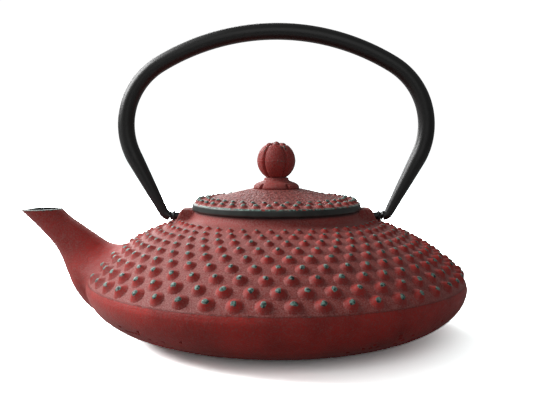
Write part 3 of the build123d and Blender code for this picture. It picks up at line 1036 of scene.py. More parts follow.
# --------------------------------------------------------------------------
# Raised dots
# --------------------------------------------------------------------------
@dataclass
class DotRows:
    """Staggered rows of cast dots on a turned surface, laid out by a geometry node tree.

    The surface is an arc in the section plane, and the rows step along it in degrees.
    A dot's size and height are shares of its distance from the axis and of its size.
    """

    name: str
    rows: int
    columns: int
    phase: float
    arc_radius: float
    arc_centre: tuple[float, float]
    first_tilt: float
    tilt_step: float
    tilt_change: float
    size: float
    height: float
    rub_from: float = 0.5
    dust_and_sheen: float = 0.1
    spout_clearance: float = 0.0
    spout_end: float = 71.5
    lug_clearance: float = 0.0
    lug_end: float = 53.0

    def _dot(self) -> bpy.types.Object:
        """One unit dot: a bell with its wear stored from rim to tip, closed under the skin.

        Returns:
            The dot, at unit size.
        """
        sides = 12
        rings = ((1.2, -0.25), (1.0, 0.0), (0.77, 0.22), (0.5, 0.64), (0.26, 0.93))
        azimuth = np.arange(sides) / sides * 2 * math.pi
        points = [(r * math.cos(a), r * math.sin(a), h) for r, h in rings for a in azimuth]
        points.append((0, 0, 1))
        tip = len(points) - 1
        faces = grid_faces(len(rings), sides).tolist()
        start = (len(rings) - 1) * sides
        faces += [[start + k, start + (k + 1) % sides, tip] for k in range(sides)]
        faces.append(list(range(sides - 1, -1, -1)))
        dot = mesh_object(self.name + "_unit", np.array(points) / MM, faces, sharp=None)
        height = vertices_mm(dot)[:, 2] * MM
        set_attribute(dot, "wear", np.clip((height - self.rub_from) / 0.5, 0, 1))
        # More bloom, dust with painted sheen, towards the dot's foot.
        set_attribute(dot, "dust_and_sheen", np.clip(0.8 - height * 2.2, self.dust_and_sheen, 0.8))
        return dot

    def _lay_out(self, tree: bpy.types.NodeTree, given: bpy.types.NodeOutputs) -> None:
        """Add the nodes that place the dots to a tree with the given inputs.

        Args:
            tree: The geometry tree.
            given: The tree's inputs, by name.
        """
        node = partial(add, tree)
        index = node("GeometryNodeInputIndex")
        row = node("FLOOR", [node("DIVIDE", [node("ADD", [index, 0.5]), given["Columns"]])])
        column = node("SUBTRACT", [index, node("MULTIPLY", [row, given["Columns"]])])
        stagger = node("MULTIPLY", [node("MODULO", [row, 2.0]), 0.5])
        turn = node("DIVIDE", [2 * math.pi, given["Columns"]])
        azimuth = node("MULTIPLY_ADD", [node("ADD", [column, stagger]), turn, given["Phase"]])
        bend = node("MULTIPLY", [node("MULTIPLY", [row, row]), given["Tilt change"]])
        even = node("MULTIPLY_ADD", [row, given["Tilt step"], given["First tilt"]])
        tilt = node("ADD", [even, bend])
        lean, rise = node("SINE", [tilt]), node("COSINE", [tilt])
        radius = node("MULTIPLY_ADD", [lean, given["Arc radius"], given["Arc out"]])
        height = node("MULTIPLY_ADD", [rise, given["Arc radius"], given["Arc up"]])
        sine = node("SINE", [azimuth])
        minus_cosine = node("MULTIPLY", [node("COSINE", [azimuth]), -1.0])
        x, y = node("MULTIPLY", [sine, radius]), node("MULTIPLY", [minus_cosine, radius])
        out = [node("MULTIPLY", [sine, lean]), node("MULTIPLY", [minus_cosine, lean]), rise]
        points = node("GeometryNodePoints", {
            "Count": node("MULTIPLY", [given["Rows"], given["Columns"]]),
            "Position": node("ShaderNodeCombineXYZ", [x, y, height]),
        })
        # Dots give way to the spout's root, which widens downwards, and to the lugs.
        aside = node("ABSOLUTE", [y])
        span = node("MULTIPLY", [node("SUBTRACT", [radius, given["Spout end"]]), 0.9])
        in_root = node("MULTIPLY", [
            node("LESS_THAN", [x, 0.0]),
            node("LESS_THAN", [aside, node("MULTIPLY", [span, given["Spout clear"]])]),
        ])
        in_lug = node("MULTIPLY", [
            node("LESS_THAN", [aside, given["Lug clear"]]),
            node("LESS_THAN", [radius, given["Lug end"]]),
        ])
        across = node("MULTIPLY", [radius, given["Dot size"]])
        jitter = node(
            "FunctionNodeRandomValue", {"Min": 0.93, "Max": 1.06, "Seed": 7}, data_type="FLOAT"
        ).outputs["Value"]
        tall = node("MULTIPLY", [node("MULTIPLY", [across, given["Dot height"]]), jitter])
        shape = node("GeometryNodeObjectInfo", {"Object": given["Dot"]})
        copies = node("GeometryNodeInstanceOnPoints", {
            "Points": points,
            "Selection": node("LESS_THAN", [node("ADD", [in_root, in_lug]), 0.5]),
            "Instance": shape.outputs["Geometry"],
            "Rotation": node(
                "FunctionNodeAlignRotationToVector", {"Vector": node("ShaderNodeCombineXYZ", out)},
                axis="Z",
            ),
            "Scale": node("ShaderNodeCombineXYZ", [
                node("MULTIPLY", [across, jitter]), across, tall,
            ]),
        })
        end_layout(tree, copies, given["Material"])

    def build(self, material: bpy.types.Material) -> bpy.types.Object:
        """Lay out the dots in a material and return them as one plain mesh.

        Args:
            material: The dots' material.

        Returns:
            The new piece.
        """
        dot = self._dot()
        piece = bake_layout(self.name, self._lay_out, {
            "Rows": float(self.rows),
            "Columns": float(self.columns),
            "Phase": self.phase,
            "Arc radius": self.arc_radius * MM,
            "Arc out": self.arc_centre[0] * MM,
            "Arc up": self.arc_centre[1] * MM,
            "First tilt": math.radians(self.first_tilt),
            "Tilt step": math.radians(self.tilt_step),
            "Tilt change": math.radians(self.tilt_change),
            "Dot size": self.size,
            "Dot height": self.height,
            "Spout clear": self.spout_clearance,
            "Spout end": self.spout_end * MM,
            "Lug clear": self.lug_clearance * MM,
            "Lug end": self.lug_end * MM,
            "Dot": dot,
            "Material": material,
        })
        bpy.data.objects.remove(dot)
        return piece


SOCKET_KINDS = {
    float: "NodeSocketFloat",
    bpy.types.Object: "NodeSocketObject",
    bpy.types.Material: "NodeSocketMaterial",
}


def end_layout(
    tree: bpy.types.NodeTree, shape: bpy.types.Node, material: bpy.types.NodeSocket
) -> None:
    """Make a tree's instances real, dress them and send them out.

    Args:
        tree: The geometry tree.
        shape: The last node of the layout.
        material: The socket that gives the material.
    """
    real = add(tree, "GeometryNodeRealizeInstances", [shape])
    dressed = add(tree, "GeometryNodeSetMaterial", {"Geometry": real, "Material": material})
    add(tree, "NodeGroupOutput", [dressed])


def bake_layout(
    name: str, lay_out: Callable[..., None], values: dict[str, object]
) -> bpy.types.Object:
    """Run a geometry node tree on an empty mesh and keep its result as a plain mesh.

    Args:
        name: The piece's name.
        lay_out: Adds the nodes to a tree, given the tree and its inputs.
        values: The value of each of the tree's inputs, by name.

    Returns:
        The new piece, with no modifier on it.
    """
    tree = bpy.data.node_groups.new(name + "_layout", "GeometryNodeTree")
    tree.interface.new_socket("Geometry", in_out="OUTPUT", socket_type="NodeSocketGeometry")
    for label, value in values.items():
        kind = next(k for t, k in SOCKET_KINDS.items() if isinstance(value, t))
        tree.interface.new_socket(label, in_out="INPUT", socket_type=kind)
    lay_out(tree, add(tree, "NodeGroupInput").outputs)
    carrier = bpy.data.objects.new(name, bpy.data.meshes.new(name))
    bpy.context.scene.collection.objects.link(carrier)
    modifier = carrier.modifiers.new("layout", "NODES")
    modifier.node_group = tree
    for item in tree.interface.items_tree:
        if item.in_out == "INPUT":
            modifier[item.identifier] = values[item.name]
    depsgraph = bpy.context.evaluated_depsgraph_get()
    depsgraph.update()
    data = bpy.data.meshes.new_from_object(carrier.evaluated_get(depsgraph))
    carrier.modifiers.remove(modifier)
    carrier.data = data
    data.name = name
    data.shade_smooth()
    return carrier


# --------------------------------------------------------------------------
# Lid, knob and its seat
# --------------------------------------------------------------------------
@dataclass
class Lid:
    """The cast lid with its skirt, two rows of dots, and the knob on its seat."""

    finishes: Finishes
    lobes: int = 5
    notch_azimuth: float = -132.0
    edge_z: float = 66.7
    under_z: float = 63.3
    crown_r: float = 12.6
    wall: float = 3.0
    skirt: tuple[float, float] = (31.3, 33.8)
    screw_hole_r: float = 2.3
    skin_r: float = 39.5
    dot_ring_r: float = 40.2
    dot_pitch: float = 4.9
    knob_z: float = 88.7
    sides: int = 320

    def __post_init__(self) -> None:
        """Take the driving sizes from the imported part."""
        low, high = node_box("lid")
        self.radius, self.top, self.skirt_z = high[0], high[2], low[2]
        self.seat_top = node_box("knob_seat")[1][2]
        self.seat_r = node_box("knob_seat")[1][0]
        knob_low, knob_high = node_box("knob")
        self.knob_r, self.button_top = knob_high[0], knob_high[2]

    def build(self) -> None:
        """Build and settle every piece of the lid."""
        self._plate()
        self._dots()
        self._seat()
        self._knob()
        self._flower()
        for node in ("knob_washer", "knob_screw"):
            dress(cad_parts[node], self.finishes.trim)

    def _crown(self, radius: float | np.ndarray) -> float | np.ndarray:
        """Height of the lid's top skin at a radius."""
        share = np.clip((self.radius - 0.8 - radius) / (self.radius - 0.8 - self.crown_r), 0, 1)
        return self.edge_z + 0.6 + (self.top - self.edge_z - 0.6) * share

    def _plate(self) -> None:
        """The lid itself, with a pebbled top and a worn rim."""
        r, w = self.radius, self.wall
        under = [
            (self.screw_hole_r, self.top - w), (self.crown_r, self.top - w),
            (self.skirt[0], self.edge_z - 1.0), (self.skirt[0], self.skirt_z),
            (self.skirt[1], self.skirt_z), (self.skirt[1], self.under_z),
            (r - 0.7, self.under_z), (r, self.under_z + 0.6),
            (r, self.edge_z - 0.1), (r - 0.9, self.edge_z + 0.6),
        ]
        top = [(q, self._crown(q)) for q in np.linspace(r - 1.6, self.crown_r, 12)]
        outline = rounded(under + top + [(self.screw_hole_r, self.top)], 0.5)
        outline = refine(np.vstack([outline, outline[:1]]), 0.7)[:-1]
        piece = lathe("lid_plate", outline, self.sides, closed=True)
        places = vertices_mm(piece)
        radius = np.hypot(places[:, 0], places[:, 1])
        skin = (radius < self.skin_r) & (places[:, 2] > self._crown(radius) - 0.4)
        pebbles = bump_noise(places * [1, 1, 0.3], 1.25) * 0.5 + bump_noise(places, 2.4) * 0.5
        fade = np.clip((self.skin_r - radius) / 2, 0, 1)
        fade *= np.clip((radius - self.crown_r) / 1.0, 0, 1)
        places[:, 2] += skin * fade * 0.34 * pebbles
        move_vertices(piece, places)
        band = (radius > r - 0.95) & (places[:, 2] > self.under_z + 0.1)
        edge = (radius > r - 1.1) & (places[:, 2] > self.edge_z - 0.5)
        set_attribute(piece, "wear", 0.75 * edge)
        set_attribute(piece, "dust_and_sheen", np.where(band, 0.0, 0.8))
        set_attribute(piece, "pebble", skin * fade)
        dress(piece, self.finishes.red)
        piece.data.materials.append(self.finishes.lining)
        piece.data.materials.append(self.finishes.bare)
        slots = np.zeros(len(piece.data.polygons), np.int32)
        for k, f in enumerate(piece.data.polygons):
            reach, height = math.hypot(*f.center[:2]) / MM, f.center.z / MM
            if reach > self.radius - 1.0 and self.under_z - 0.1 < height < self.edge_z - 0.15:
                slots[k] = 2
            elif f.normal.z < 0.1 and reach < self.radius - 1.0:
                slots[k] = 1
        piece.data.polygons.foreach_set("material_index", slots)
        settle(piece, Body.LID, ("lid",))

    def _dots(self) -> None:
        """Two staggered rows of dots inside the rim."""
        drop = self._crown(self.dot_ring_r - 5.0) - self._crown(self.dot_ring_r)
        slope = math.degrees(math.atan2(drop, 5.0))
        # The lid's straight slope is all but an arc of a long radius.
        reach = 400.0
        centre = (
            self.dot_ring_r - reach * math.sin(math.radians(slope)),
            self._crown(self.dot_ring_r) - reach * math.cos(math.radians(slope)),
        )
        rows = DotRows(
            "lid_dots", rows=2, columns=40, phase=0.06, arc_radius=reach, arc_centre=centre,
            first_tilt=slope, tilt_step=-math.degrees(self.dot_pitch / reach), tilt_change=0.0,
            size=0.06, height=0.72, rub_from=0.3, dust_and_sheen=0.45,
        )
        piece = rows.build(self.finishes.red)
        settle(piece, Body.LID)

    def _groove(self, azimuth: np.ndarray, width: float) -> np.ndarray:
        """How deep in a groove each azimuth is, from 0 on a gore to 1 in a groove.

        Args:
            azimuth: Directions round the axis.
            width: The groove's half width, in radians.

        Returns:
            One depth for each azimuth.
        """
        step = 2 * math.pi / self.lobes
        off = (azimuth - math.radians(self.notch_azimuth) + step / 2) % step - step / 2
        return np.exp(-((off / width) ** 2))

    def _polar(self, name: str, radii: np.ndarray, heights: np.ndarray) -> bpy.types.Object:
        """A closed piece from rings whose radius and height vary with azimuth.

        Args:
            name: The piece's name.
            radii: Radius of each ring at each azimuth.
            heights: Height of each ring at each azimuth.

        Returns:
            The finished piece.
        """
        sides = radii.shape[1]
        azimuth = np.arange(sides) / sides * 2 * math.pi
        points = np.stack([radii * np.cos(azimuth), radii * np.sin(azimuth), heights], axis=-1)
        return mesh_object(name, points.reshape(-1, 3), grid_faces(len(radii), sides))

    def _seat(self) -> None:
        """The bell-shaped collar, its edge parted into lobes by notches."""
        base, top, r = self.top, self.seat_top, self.seat_r
        outline = rounded([
            (0, base), (r - 0.3, base), (r, base + 0.7), (r - 0.4, base + 1.8), (10.4, base + 2.8),
            (8.3, base + 3.6), (6.95, base + 4.1), (6.45, base + 4.5), (6.3, top - 0.25),
            (5.8, top), (0, top),
        ], 0.9)
        outline = refine(outline, 0.45)
        azimuth = np.arange(200) / 200 * 2 * math.pi
        notch = self._groove(azimuth, 0.055)[None, :]
        low_down = np.clip((base + 2.9 - outline[:, 1:]) / 0.8, 0, 1)
        outer = np.clip((outline[:, :1] - 9) / 1.5, 0, 1)
        radii = outline[:, :1] - 2.0 * notch * low_down * outer
        piece = self._polar("knob_collar", radii, np.repeat(outline[:, 1:], 200, axis=1))
        places = vertices_mm(piece)
        ring = np.abs(places[:, 2] - top) < 0.35
        set_attribute(piece, "wear", np.where(ring, 0.3, 0.0))
        set_attribute(piece, "dust_and_sheen", np.full(len(places), 0.75))
        dress(piece, self.finishes.red)
        settle(piece, Body.LID, ("knob_seat",))

    def _knob(self) -> None:
        """The melon: a ball of five gores with a faint mould line round its middle."""
        polar = np.radians(np.linspace(147.5, 33, 66))
        sides = 240
        azimuth = np.arange(sides) / sides * 2 * math.pi
        groove = self._groove(azimuth, 0.07)[None, :]
        soft = self._groove(azimuth, 0.26)[None, :]
        reach = np.sin(polar)[:, None]
        radius = self.knob_r - 1.2 * groove * reach - 0.3 * soft * reach
        seam = np.exp(-(((polar - math.pi / 2) * self.knob_r / 0.3) ** 2))[:, None]
        radius = radius + 0.09 * seam
        radii = radius * reach
        heights = self.knob_z + np.minimum(radius * np.cos(polar)[:, None], 8.0)
        neck = np.full((1, sides), 4.75)
        start = heights.min(axis=0).min()
        bottom = [
            (np.zeros((1, sides)), np.full((1, sides), self.seat_top)),
            (neck, np.full((1, sides), self.seat_top)),
            (neck, np.full((1, sides), start)),
        ]
        radii = np.vstack([ring[0] for ring in bottom] + [radii, np.zeros((1, sides))])
        heights = np.vstack([ring[1] for ring in bottom] + [heights, heights[-1:]])
        piece = self._polar("knob_melon", radii, heights)
        places = vertices_mm(piece)
        middle = np.clip(1 - np.abs(places[:, 2] - self.knob_z) / 0.35, 0, 1)
        high = np.clip((places[:, 2] - self.knob_z - 4.5) / 3, 0, 1)
        spin = np.arctan2(places[:, 1], places[:, 0])
        lips = self._groove(spin, 0.17) - self._groove(spin, 0.08)
        upper = np.clip((places[:, 2] - self.knob_z + 1) / 4, 0, 1)
        set_attribute(piece, "wear", 0.62 * middle + 0.25 * high + 0.85 * lips * upper)
        set_attribute(piece, "dust_and_sheen", np.full(len(places), 0.42))
        dress(piece, self.finishes.red)
        settle(piece, Body.LID, ("knob",))

    def _flower(self) -> None:
        """The five-petal flower on the crown, with a button in its middle."""
        sides, base = 150, self.knob_z + 7.2
        reach = refine(np.array([(0.0, 0.0), (6.1, 0.0)]), 0.22)[:, :1]
        azimuth = (np.arange(sides) / sides * 2 * math.pi)[None, :]
        x, y = reach * np.cos(azimuth), reach * np.sin(azimuth)
        height = np.full((len(reach), sides), base - 0.9)
        domes = [(0.0, 0.0, 2.2, 3.0)]
        for k in range(self.lobes):
            turn = math.radians(self.notch_azimuth) + (k + 0.5) * 2 * math.pi / self.lobes
            domes.append((3.6 * math.cos(turn), 3.6 * math.sin(turn), 2.1, 2.3))
        for cx, cy, radius, rise in domes:
            span = np.clip(1 - ((x - cx) ** 2 + (y - cy) ** 2) / radius**2, 0, 1)
            height = np.maximum(height, base - 0.2 + np.sqrt(span) * rise)
        height = np.minimum(height, self.button_top)
        radii = np.vstack([reach * np.ones((1, sides)), np.zeros((1, sides))])
        heights = np.vstack([height, np.full((1, sides), base - 1.5)])
        piece = self._polar("knob_flower", radii, heights)
        places = vertices_mm(piece)
        set_attribute(piece, "wear", np.clip((places[:, 2] - base - 0.6) / 1.2, 0, 1) * 0.5)
        set_attribute(piece, "dust_and_sheen", np.full(len(places), 0.5))
        dress(piece, self.finishes.red)
        settle(piece, Body.LID)


# --------------------------------------------------------------------------
# Handle
# --------------------------------------------------------------------------
@dataclass
class Handle:
    """The bail: one rod bent over the pot, tapering down its legs and turned in at each pin."""

    finishes: Finishes
    rod_r: float = 4.3
    bow_r: float = 116.2
    side_r: float = 36.5
    side_centre: tuple[float, float] = (41.1, 107.0)
    leg_tilt: float = 27.6
    leg_end_r: float = 2.5
    bend_r: float = 4.0
    pin_r: float = 1.93
    pin_in: float = 45.4
    hinge_z: float = 60.0
    sides: int = 28

    def _half(self) -> tuple[np.ndarray, np.ndarray]:
        """Centre line and radius from the top of the bow to the pin's end, on the +X side.

        Returns:
            Points as (x, z), and the radius at each.
        """
        top = node_box("handle")[1][2] - self.rod_r
        tilt = math.radians(self.leg_tilt)
        cx, cz = self.side_centre
        turn = math.atan2(cz - top + self.bow_r, cx)
        places, radii = [], []
        for a in np.linspace(math.pi / 2, turn, 40):
            places.append((self.bow_r * math.cos(a), top - self.bow_r + self.bow_r * math.sin(a)))
            radii.append(self.rod_r)
        for a in np.linspace(turn, -tilt, 36)[1:]:
            places.append((cx + self.side_r * math.cos(a), cz + self.side_r * math.sin(a)))
            radii.append(self.rod_r)
        leg_x, leg_z = places[-1]
        elbow = leg_x - (leg_z - self.hinge_z) * math.tan(tilt)
        setback = self.bend_r * (1 - math.sin(tilt)) / math.cos(tilt)
        end = (elbow + setback * math.sin(tilt), self.hinge_z + setback * math.cos(tilt))
        for t in np.linspace(0, 1, 14)[1:]:
            places.append((leg_x + (end[0] - leg_x) * t, leg_z + (end[1] - leg_z) * t))
            radii.append(self.rod_r + (self.leg_end_r - self.rod_r) * t)
        for a in np.linspace(-tilt, -math.pi / 2, 9)[1:]:
            places.append((
                elbow - setback + self.bend_r * math.cos(a),
                self.hinge_z + self.bend_r + self.bend_r * math.sin(a),
            ))
            radii.append(self.leg_end_r)
        pin = (
            (54.5, self.pin_r), (54.2, self.pin_r + 0.1), (53.5, 2.7), (53.1, 2.9), (52.9, 2.8),
            (52.88, self.pin_r), (46.0, self.pin_r), (self.pin_in, self.pin_r - 0.6),
            (self.pin_in, 0.0),
        )
        for x, radius in pin:
            places.append((x, self.hinge_z))
            radii.append(radius)
        return np.array(places), np.array(radii)

    def build(self) -> None:
        """Sweep the rod and settle it."""
        places, radii = self._half()
        mirrored = places[:0:-1] * [-1, 1]
        line = np.vstack([mirrored, places])
        radii = np.concatenate([radii[:0:-1], radii])
        heading = np.gradient(line, axis=0)
        steps = np.linalg.norm(heading, axis=1, keepdims=True)
        heading = heading / np.maximum(steps, 1e-9)
        on_pin = np.abs(line[:, 1] - self.hinge_z) < 1e-6
        heading[on_pin] = (1.0, 0.0)
        normal = np.stack([-heading[:, 1], heading[:, 0]], axis=1)
        angle = np.arange(self.sides) / self.sides * 2 * math.pi
        inward = np.cos(angle)[None, :, None] * normal[:, None, :] * radii[:, None, None]
        x = line[:, None, 0] + inward[..., 0]
        z = line[:, None, 1] + inward[..., 1]
        y = np.sin(angle)[None, :] * radii[:, None]
        points = np.stack([x, y, z], axis=-1).reshape(-1, 3)
        piece = mesh_object("bail_handle", points, grid_faces(len(line), self.sides), sharp=45)
        dress(piece, self.finishes.black)
        settle(piece, Body.HANDLE, ("handle",))


# --------------------------------------------------------------------------
# Infuser basket
# --------------------------------------------------------------------------
@dataclass
class InfuserBasket:
    """The lift-out basket: pressed rim and base ring, woven wall and woven base."""

    finishes: Finishes
    uprights: int = 120
    hoops: int = 21
    base_turns: int = 18
    wire_r: float = 0.2
    crimp: float = 0.14

    def build(self) -> None:
        """Build and settle the basket's four pieces."""
        self._rim()
        self._base_ring()
        self._wall()
        self._base()

    def _rim(self) -> None:
        """Flange with a rolled edge, and the band that grips the mesh."""
        low, high = node_box("strainer_rim")
        outer, top, bottom = high[0], high[2], low[2]
        outline = rounded([
            (34.4, bottom + 0.05), (35.25, bottom), (35.25, top - 0.75), (outer - 0.7, top - 0.62),
            (outer - 0.05, top - 0.6), (outer, top - 0.2), (outer - 0.4, top), (34.7, top - 0.02),
            (34.3, top - 0.4), (34.3, top - 4), (34.95, top - 4.1), (34.95, bottom + 0.4),
        ], 0.25, 3)
        piece = lathe("basket_rim", outline, 160, closed=True)
        dress(piece, self.finishes.trim)
        settle(piece, Body.STRAINER, ("strainer_rim",))

    def _base_ring(self) -> None:
        """Pressed ring that clasps the wall and the base."""
        low, high = node_box("strainer_base_ring")
        bottom, top = low[2], high[2]
        outline = rounded([
            (31.5, bottom), (34.6, bottom), (35.3, bottom + 0.7), (35.3, top), (34.95, top),
            (34.95, bottom + 0.95), (34.4, bottom + 0.55), (31.5, bottom + 0.55),
        ], 0.3, 3)
        piece = lathe("basket_base_ring", outline, 160, closed=True)
        dress(piece, self.finishes.trim)
        settle(piece, Body.STRAINER, ("strainer_base_ring",))

    def _wall(self) -> None:
        """Weave the cylinder of wire between the rim and the base ring."""
        low, high = node_box("strainer_wall")
        base = low[2] + 1.0
        self._weave("basket_wall", self._wall_strand, "strainer_wall", {
            "Radius": high[0] - 0.2 - self.crimp * 0.5,
            "Base": base,
            "Pitch": (high[2] - 1.0 - base) / self.hoops,
        }, self.uprights, self.hoops)

    def _base(self) -> None:
        """Weave the disc of wire inside the base ring."""
        low, high = node_box("strainer_base_mesh")
        radius, turns = high[0] - 0.4, self.base_turns
        self._weave("basket_base", self._disc_strand, "strainer_base_mesh", {
            "Radius": radius, "Base": (low[2] + high[2]) / 2 + 0.1, "Pitch": radius / (turns + 0.5),
        }, turns, turns * 2)

    def _weave(
        self, name: str, strand: Callable[..., bpy.types.Node], node_name: str,
        sizes: dict[str, float], turns: int, hoops: int,
    ) -> None:
        """Weave two families of wires into one piece and settle it.

        Args:
            name: The piece's name.
            strand: Adds one family's nodes and returns the last.
            node_name: The CAD node that the piece stands for.
            sizes: Sizes in millimetres, by input name.
            turns: Number of wires of the first family, or on each side of the middle.
            hoops: Number of spaces between the wires of the second family.
        """

        def lay_out(tree: bpy.types.NodeTree, given: bpy.types.NodeOutputs) -> None:
            """Add the nodes of both families, and sweep a round section along them.

            Args:
                tree: The geometry tree.
                given: The tree's inputs, by name.
            """
            node = partial(add, tree)
            woven = node("GeometryNodeJoinGeometry")
            for sign in (1.0, -1.0):
                tree.links.new(strand(node, given, sign).outputs[0], woven.inputs[0])
            section = node(
                "GeometryNodeCurvePrimitiveCircle", {"Resolution": 4, "Radius": given["Wire"]}
            )
            wires = node("GeometryNodeCurveToMesh", {
                "Curve": woven, "Profile Curve": section, "Fill Caps": True,
            })
            end_layout(tree, wires, given["Material"])

        lengths = sizes | {"Wire": self.wire_r, "Crimp": self.crimp}
        values = {label: float(size * MM) for label, size in lengths.items()}
        values |= {"Turns": float(turns), "Hoops": float(hoops), "Material": self.finishes.wire}
        settle(bake_layout(name, lay_out, values), Body.STRAINER, (node_name,))

    def _wall_strand(
        self, node: AddNode, given: bpy.types.NodeOutputs, sign: float
    ) -> bpy.types.Node:
        """One family of the wall's wires: uprights for +1, hoops for -1.

        Args:
            node: Adds a node to the tree.
            given: The tree's inputs, by name.
            sign: Which family, and which way its wires start.

        Returns:
            The last node of the family.
        """
        index = node("GeometryNodeInputIndex")
        if sign > 0:
            height = node("MULTIPLY", [given["Pitch"], given["Hoops"]])
            line = node("GeometryNodeCurvePrimitiveLine", {
                "Start": (0.0, 0.0, 0.0), "End": node("ShaderNodeCombineXYZ", {2: height}),
            })
            steps = node("MULTIPLY_ADD", [given["Hoops"], 2.0, 1.0])
            shape = node("GeometryNodeResampleCurve", {"Curve": line, "Count": steps})
            turned = node("DIVIDE", [node("MULTIPLY", [index, 2 * math.pi]), given["Turns"]])
            where = [
                node("MULTIPLY", [node("COSINE", [turned]), given["Radius"]]),
                node("MULTIPLY", [node("SINE", [turned]), given["Radius"]]),
                given["Base"],
            ]
            count = given["Turns"]
        else:
            shape = node("GeometryNodeCurvePrimitiveCircle", {
                "Resolution": node("MULTIPLY", [given["Turns"], 2.0]), "Radius": given["Radius"],
            })
            where = [0.0, 0.0, node("MULTIPLY_ADD", [index, given["Pitch"], given["Base"]])]
            count = node("ADD", [given["Hoops"], 1.0])
        points = node("GeometryNodePoints", {
            "Count": count, "Position": node("ShaderNodeCombineXYZ", where),
        })
        copies = node("GeometryNodeInstanceOnPoints", {"Points": points, "Instance": shape})
        # Wires pass over and under each other: a cosine in step with both counts.
        at = node("ShaderNodeSeparateXYZ", [node("GeometryNodeInputPosition")]).outputs
        azimuth = node("ARCTAN2", [at["Y"], at["X"]])
        step = node("DIVIDE", [node("MULTIPLY", [azimuth, given["Turns"]]), 2 * math.pi])
        level = node("DIVIDE", [node("SUBTRACT", [at["Z"], given["Base"]]), given["Pitch"]])
        push = self._push(node, given, node("ADD", [step, level]), sign)
        offset = [node("MULTIPLY", [node(way, [azimuth]), push]) for way in ("COSINE", "SINE")]
        return node("GeometryNodeSetPosition", {
            "Geometry": node("GeometryNodeRealizeInstances", [copies]),
            "Offset": node("ShaderNodeCombineXYZ", offset),
        })

    def _disc_strand(
        self, node: AddNode, given: bpy.types.NodeOutputs, sign: float
    ) -> bpy.types.Node:
        """One family of the disc's wires: along X for +1, along Y for -1.

        Args:
            node: Adds a node to the tree.
            given: The tree's inputs, by name.
            sign: Which family, and which way its wires start.

        Returns:
            The last node of the family.
        """
        line = node("GeometryNodeCurvePrimitiveLine", {
            "Start": (-1.0, 0.0, 0.0), "End": (1.0, 0.0, 0.0),
        })
        steps = node("MULTIPLY_ADD", [given["Hoops"], 2.0, 1.0])
        shape = node("GeometryNodeResampleCurve", {"Curve": line, "Count": steps})
        aside = node("SUBTRACT", [node("GeometryNodeInputIndex"), given["Turns"]])
        off = node("MULTIPLY", [aside, given["Pitch"]])
        squares = [node("MULTIPLY", [side, side]) for side in (given["Radius"], off)]
        chord = node("SQRT", [node("SUBTRACT", squares)])
        where = [0.0, off, given["Base"]] if sign > 0 else [off, 0.0, given["Base"]]
        points = node("GeometryNodePoints", {
            "Count": node("MULTIPLY_ADD", [given["Turns"], 2.0, 1.0]),
            "Position": node("ShaderNodeCombineXYZ", where),
        })
        sizes = {"Geometry": points, "Name": "chord", "Value": chord}
        sized = node("GeometryNodeStoreNamedAttribute", sizes, data_type="FLOAT")
        held = node("GeometryNodeInputNamedAttribute", {"Name": "chord"}, data_type="FLOAT")
        copies = node("GeometryNodeInstanceOnPoints", {
            "Points": sized,
            "Instance": shape,
            "Rotation": (0.0, 0.0, 0.0 if sign > 0 else math.pi / 2),
            "Scale": node("ShaderNodeCombineXYZ", [held.outputs["Attribute"], 1.0, 1.0]),
        })
        at = node("ShaderNodeSeparateXYZ", [node("GeometryNodeInputPosition")]).outputs
        step = node("DIVIDE", [node("ADD", [at["X"], at["Y"]]), given["Pitch"]])
        push = self._push(node, given, step, sign)
        return node("GeometryNodeSetPosition", {
            "Geometry": node("GeometryNodeRealizeInstances", [copies]),
            "Offset": node("ShaderNodeCombineXYZ", {2: push}),
        })

    def _push(
        self, node: AddNode, given: bpy.types.NodeOutputs, step: bpy.types.Node, sign: float
    ) -> bpy.types.Node:
        """How far a wire is pushed out of the weave's middle at a step along it."""
        wave = node("COSINE", [node("MULTIPLY", [step, math.pi])])
        return node("MULTIPLY", [node("MULTIPLY", [wave, given["Crimp"]]), sign])


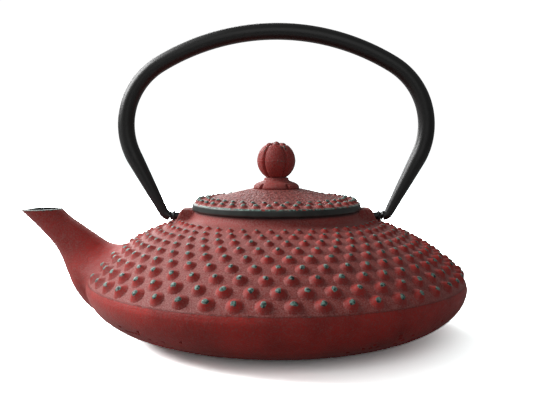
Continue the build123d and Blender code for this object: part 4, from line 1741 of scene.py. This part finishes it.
# --------------------------------------------------------------------------
# Stage
# --------------------------------------------------------------------------
@dataclass
class Studio:
    """Pale floor, soft lights and the camera in front of the pot."""

    eye: tuple[float, float, float] = (-5.1, -410.7, 103.0)
    pitch_down: float = 4.84
    lens: float = 53.4
    ambient: float = 0.22
    backdrop: float = 1.05
    floor_gain: float = 5.4
    # Name, place, target, width and power of each.
    softboxes: tuple = (
        ("key", (-640, 40, 520), (0, 0, 40), 480, 10.0),
        ("back", (-300, 640, 420), (0, 0, 50), 600, 5.0),
        ("front", (60, -760, 420), (0, 0, 40), 620, 0.8),
    )

    def build(self) -> None:
        """Build the floor, the lights and the camera."""
        self._floor()
        self._world()
        for softbox in self.softboxes:
            self._light(*softbox)
        self._camera()

    def _floor(self) -> None:
        """A wide pale floor under the pot."""
        half = 4000.0
        points = np.array([(-half, -half, 0), (half, -half, 0), (half, half, 0), (-half, half, 0)])
        floor = mesh_object("studio_floor", points, [[0, 1, 2, 3]], merge=False)
        material, node = new_material("pale_studio_floor")
        # Overexposed to the camera, and dimmer as a source of bounced light.
        seen = node("ShaderNodeLightPath").outputs["Is Camera Ray"]
        bright = (self.floor_gain * 0.93, self.floor_gain, self.floor_gain, 1.0)
        tones = {0: seen, 6: (0.3, 0.3, 0.3, 1.0), 7: bright}
        tone = node("ShaderNodeMix", tones, data_type="RGBA")
        coat = node("ShaderNodeBsdfDiffuse", {"Color": tone})
        node("ShaderNodeOutputMaterial", {"Surface": coat})
        dress(floor, material)

    def _world(self) -> None:
        """White surroundings: bright behind the pot, dimmer as a light on it."""
        world = bpy.data.worlds.new("studio")
        world.use_nodes = True
        world.node_tree.nodes.clear()
        node = partial(add, world.node_tree)
        soft, white = (
            node("ShaderNodeBackground", {"Color": (1, 1, 1, 1), "Strength": strength})
            for strength in (self.ambient, self.backdrop)
        )
        seen = node("ShaderNodeLightPath").outputs["Is Camera Ray"]
        node("ShaderNodeOutputWorld", {"Surface": node("ShaderNodeMixShader", [seen, soft, white])})
        bpy.context.scene.world = world

    def _light(
        self, name: str, place: tuple, target: tuple, size: float, power: float
    ) -> None:
        """Hang one square softbox, aimed at a point.

        Args:
            name: The light's name.
            place: Where it hangs, in millimetres.
            target: The point that it faces.
            size: Width of its face.
            power: Power in watts.
        """
        data = bpy.data.lights.new(name, "AREA")
        data.size = size * MM
        data.energy = power
        lamp = bpy.data.objects.new(name, data)
        lamp.location = Vector(place) * MM
        aim = (Vector(target) - Vector(place)) * MM
        lamp.rotation_euler = aim.to_track_quat("-Z", "Y").to_euler()
        bpy.context.scene.collection.objects.link(lamp)

    def _camera(self) -> None:
        """The camera, a little above the pot and tipped down towards it."""
        data = bpy.data.cameras.new("camera")
        data.lens = self.lens
        data.sensor_width = 36.0
        camera = bpy.data.objects.new("camera", data)
        camera.location = Vector(self.eye) * MM
        camera.rotation_euler = (math.radians(90 - self.pitch_down), 0, 0)
        bpy.context.scene.collection.objects.link(camera)
        bpy.context.scene.camera = camera
        bpy.context.scene.view_settings.view_transform = "Standard"


def body_dots(finishes: Finishes) -> None:
    """Cover the dome with its nine rows of dots.

    Args:
        finishes: The teapot's finishes.
    """
    rows = DotRows(
        "body_dots", rows=9, columns=48, phase=0.065, arc_radius=105.2, arc_centre=(20.5, -43.6),
        first_tilt=43.85, tilt_step=-3.83, tilt_change=0.047, size=0.0425, height=0.7,
        spout_clearance=1.0, lug_clearance=8.5,
    )
    piece = rows.build(finishes.red)
    settle(piece, Body.POT)


def main() -> None:
    """Build the teapot piece by piece, then the studio round it."""
    logging.basicConfig(level=logging.INFO, format="%(name)s %(message)s")
    finishes = Finishes()
    PotCasting(finishes).build()
    body_dots(finishes)
    Lid(finishes).build()
    Handle(finishes).build()
    InfuserBasket(finishes).build()
    Studio().build()


if __name__ == "__main__":
    main()
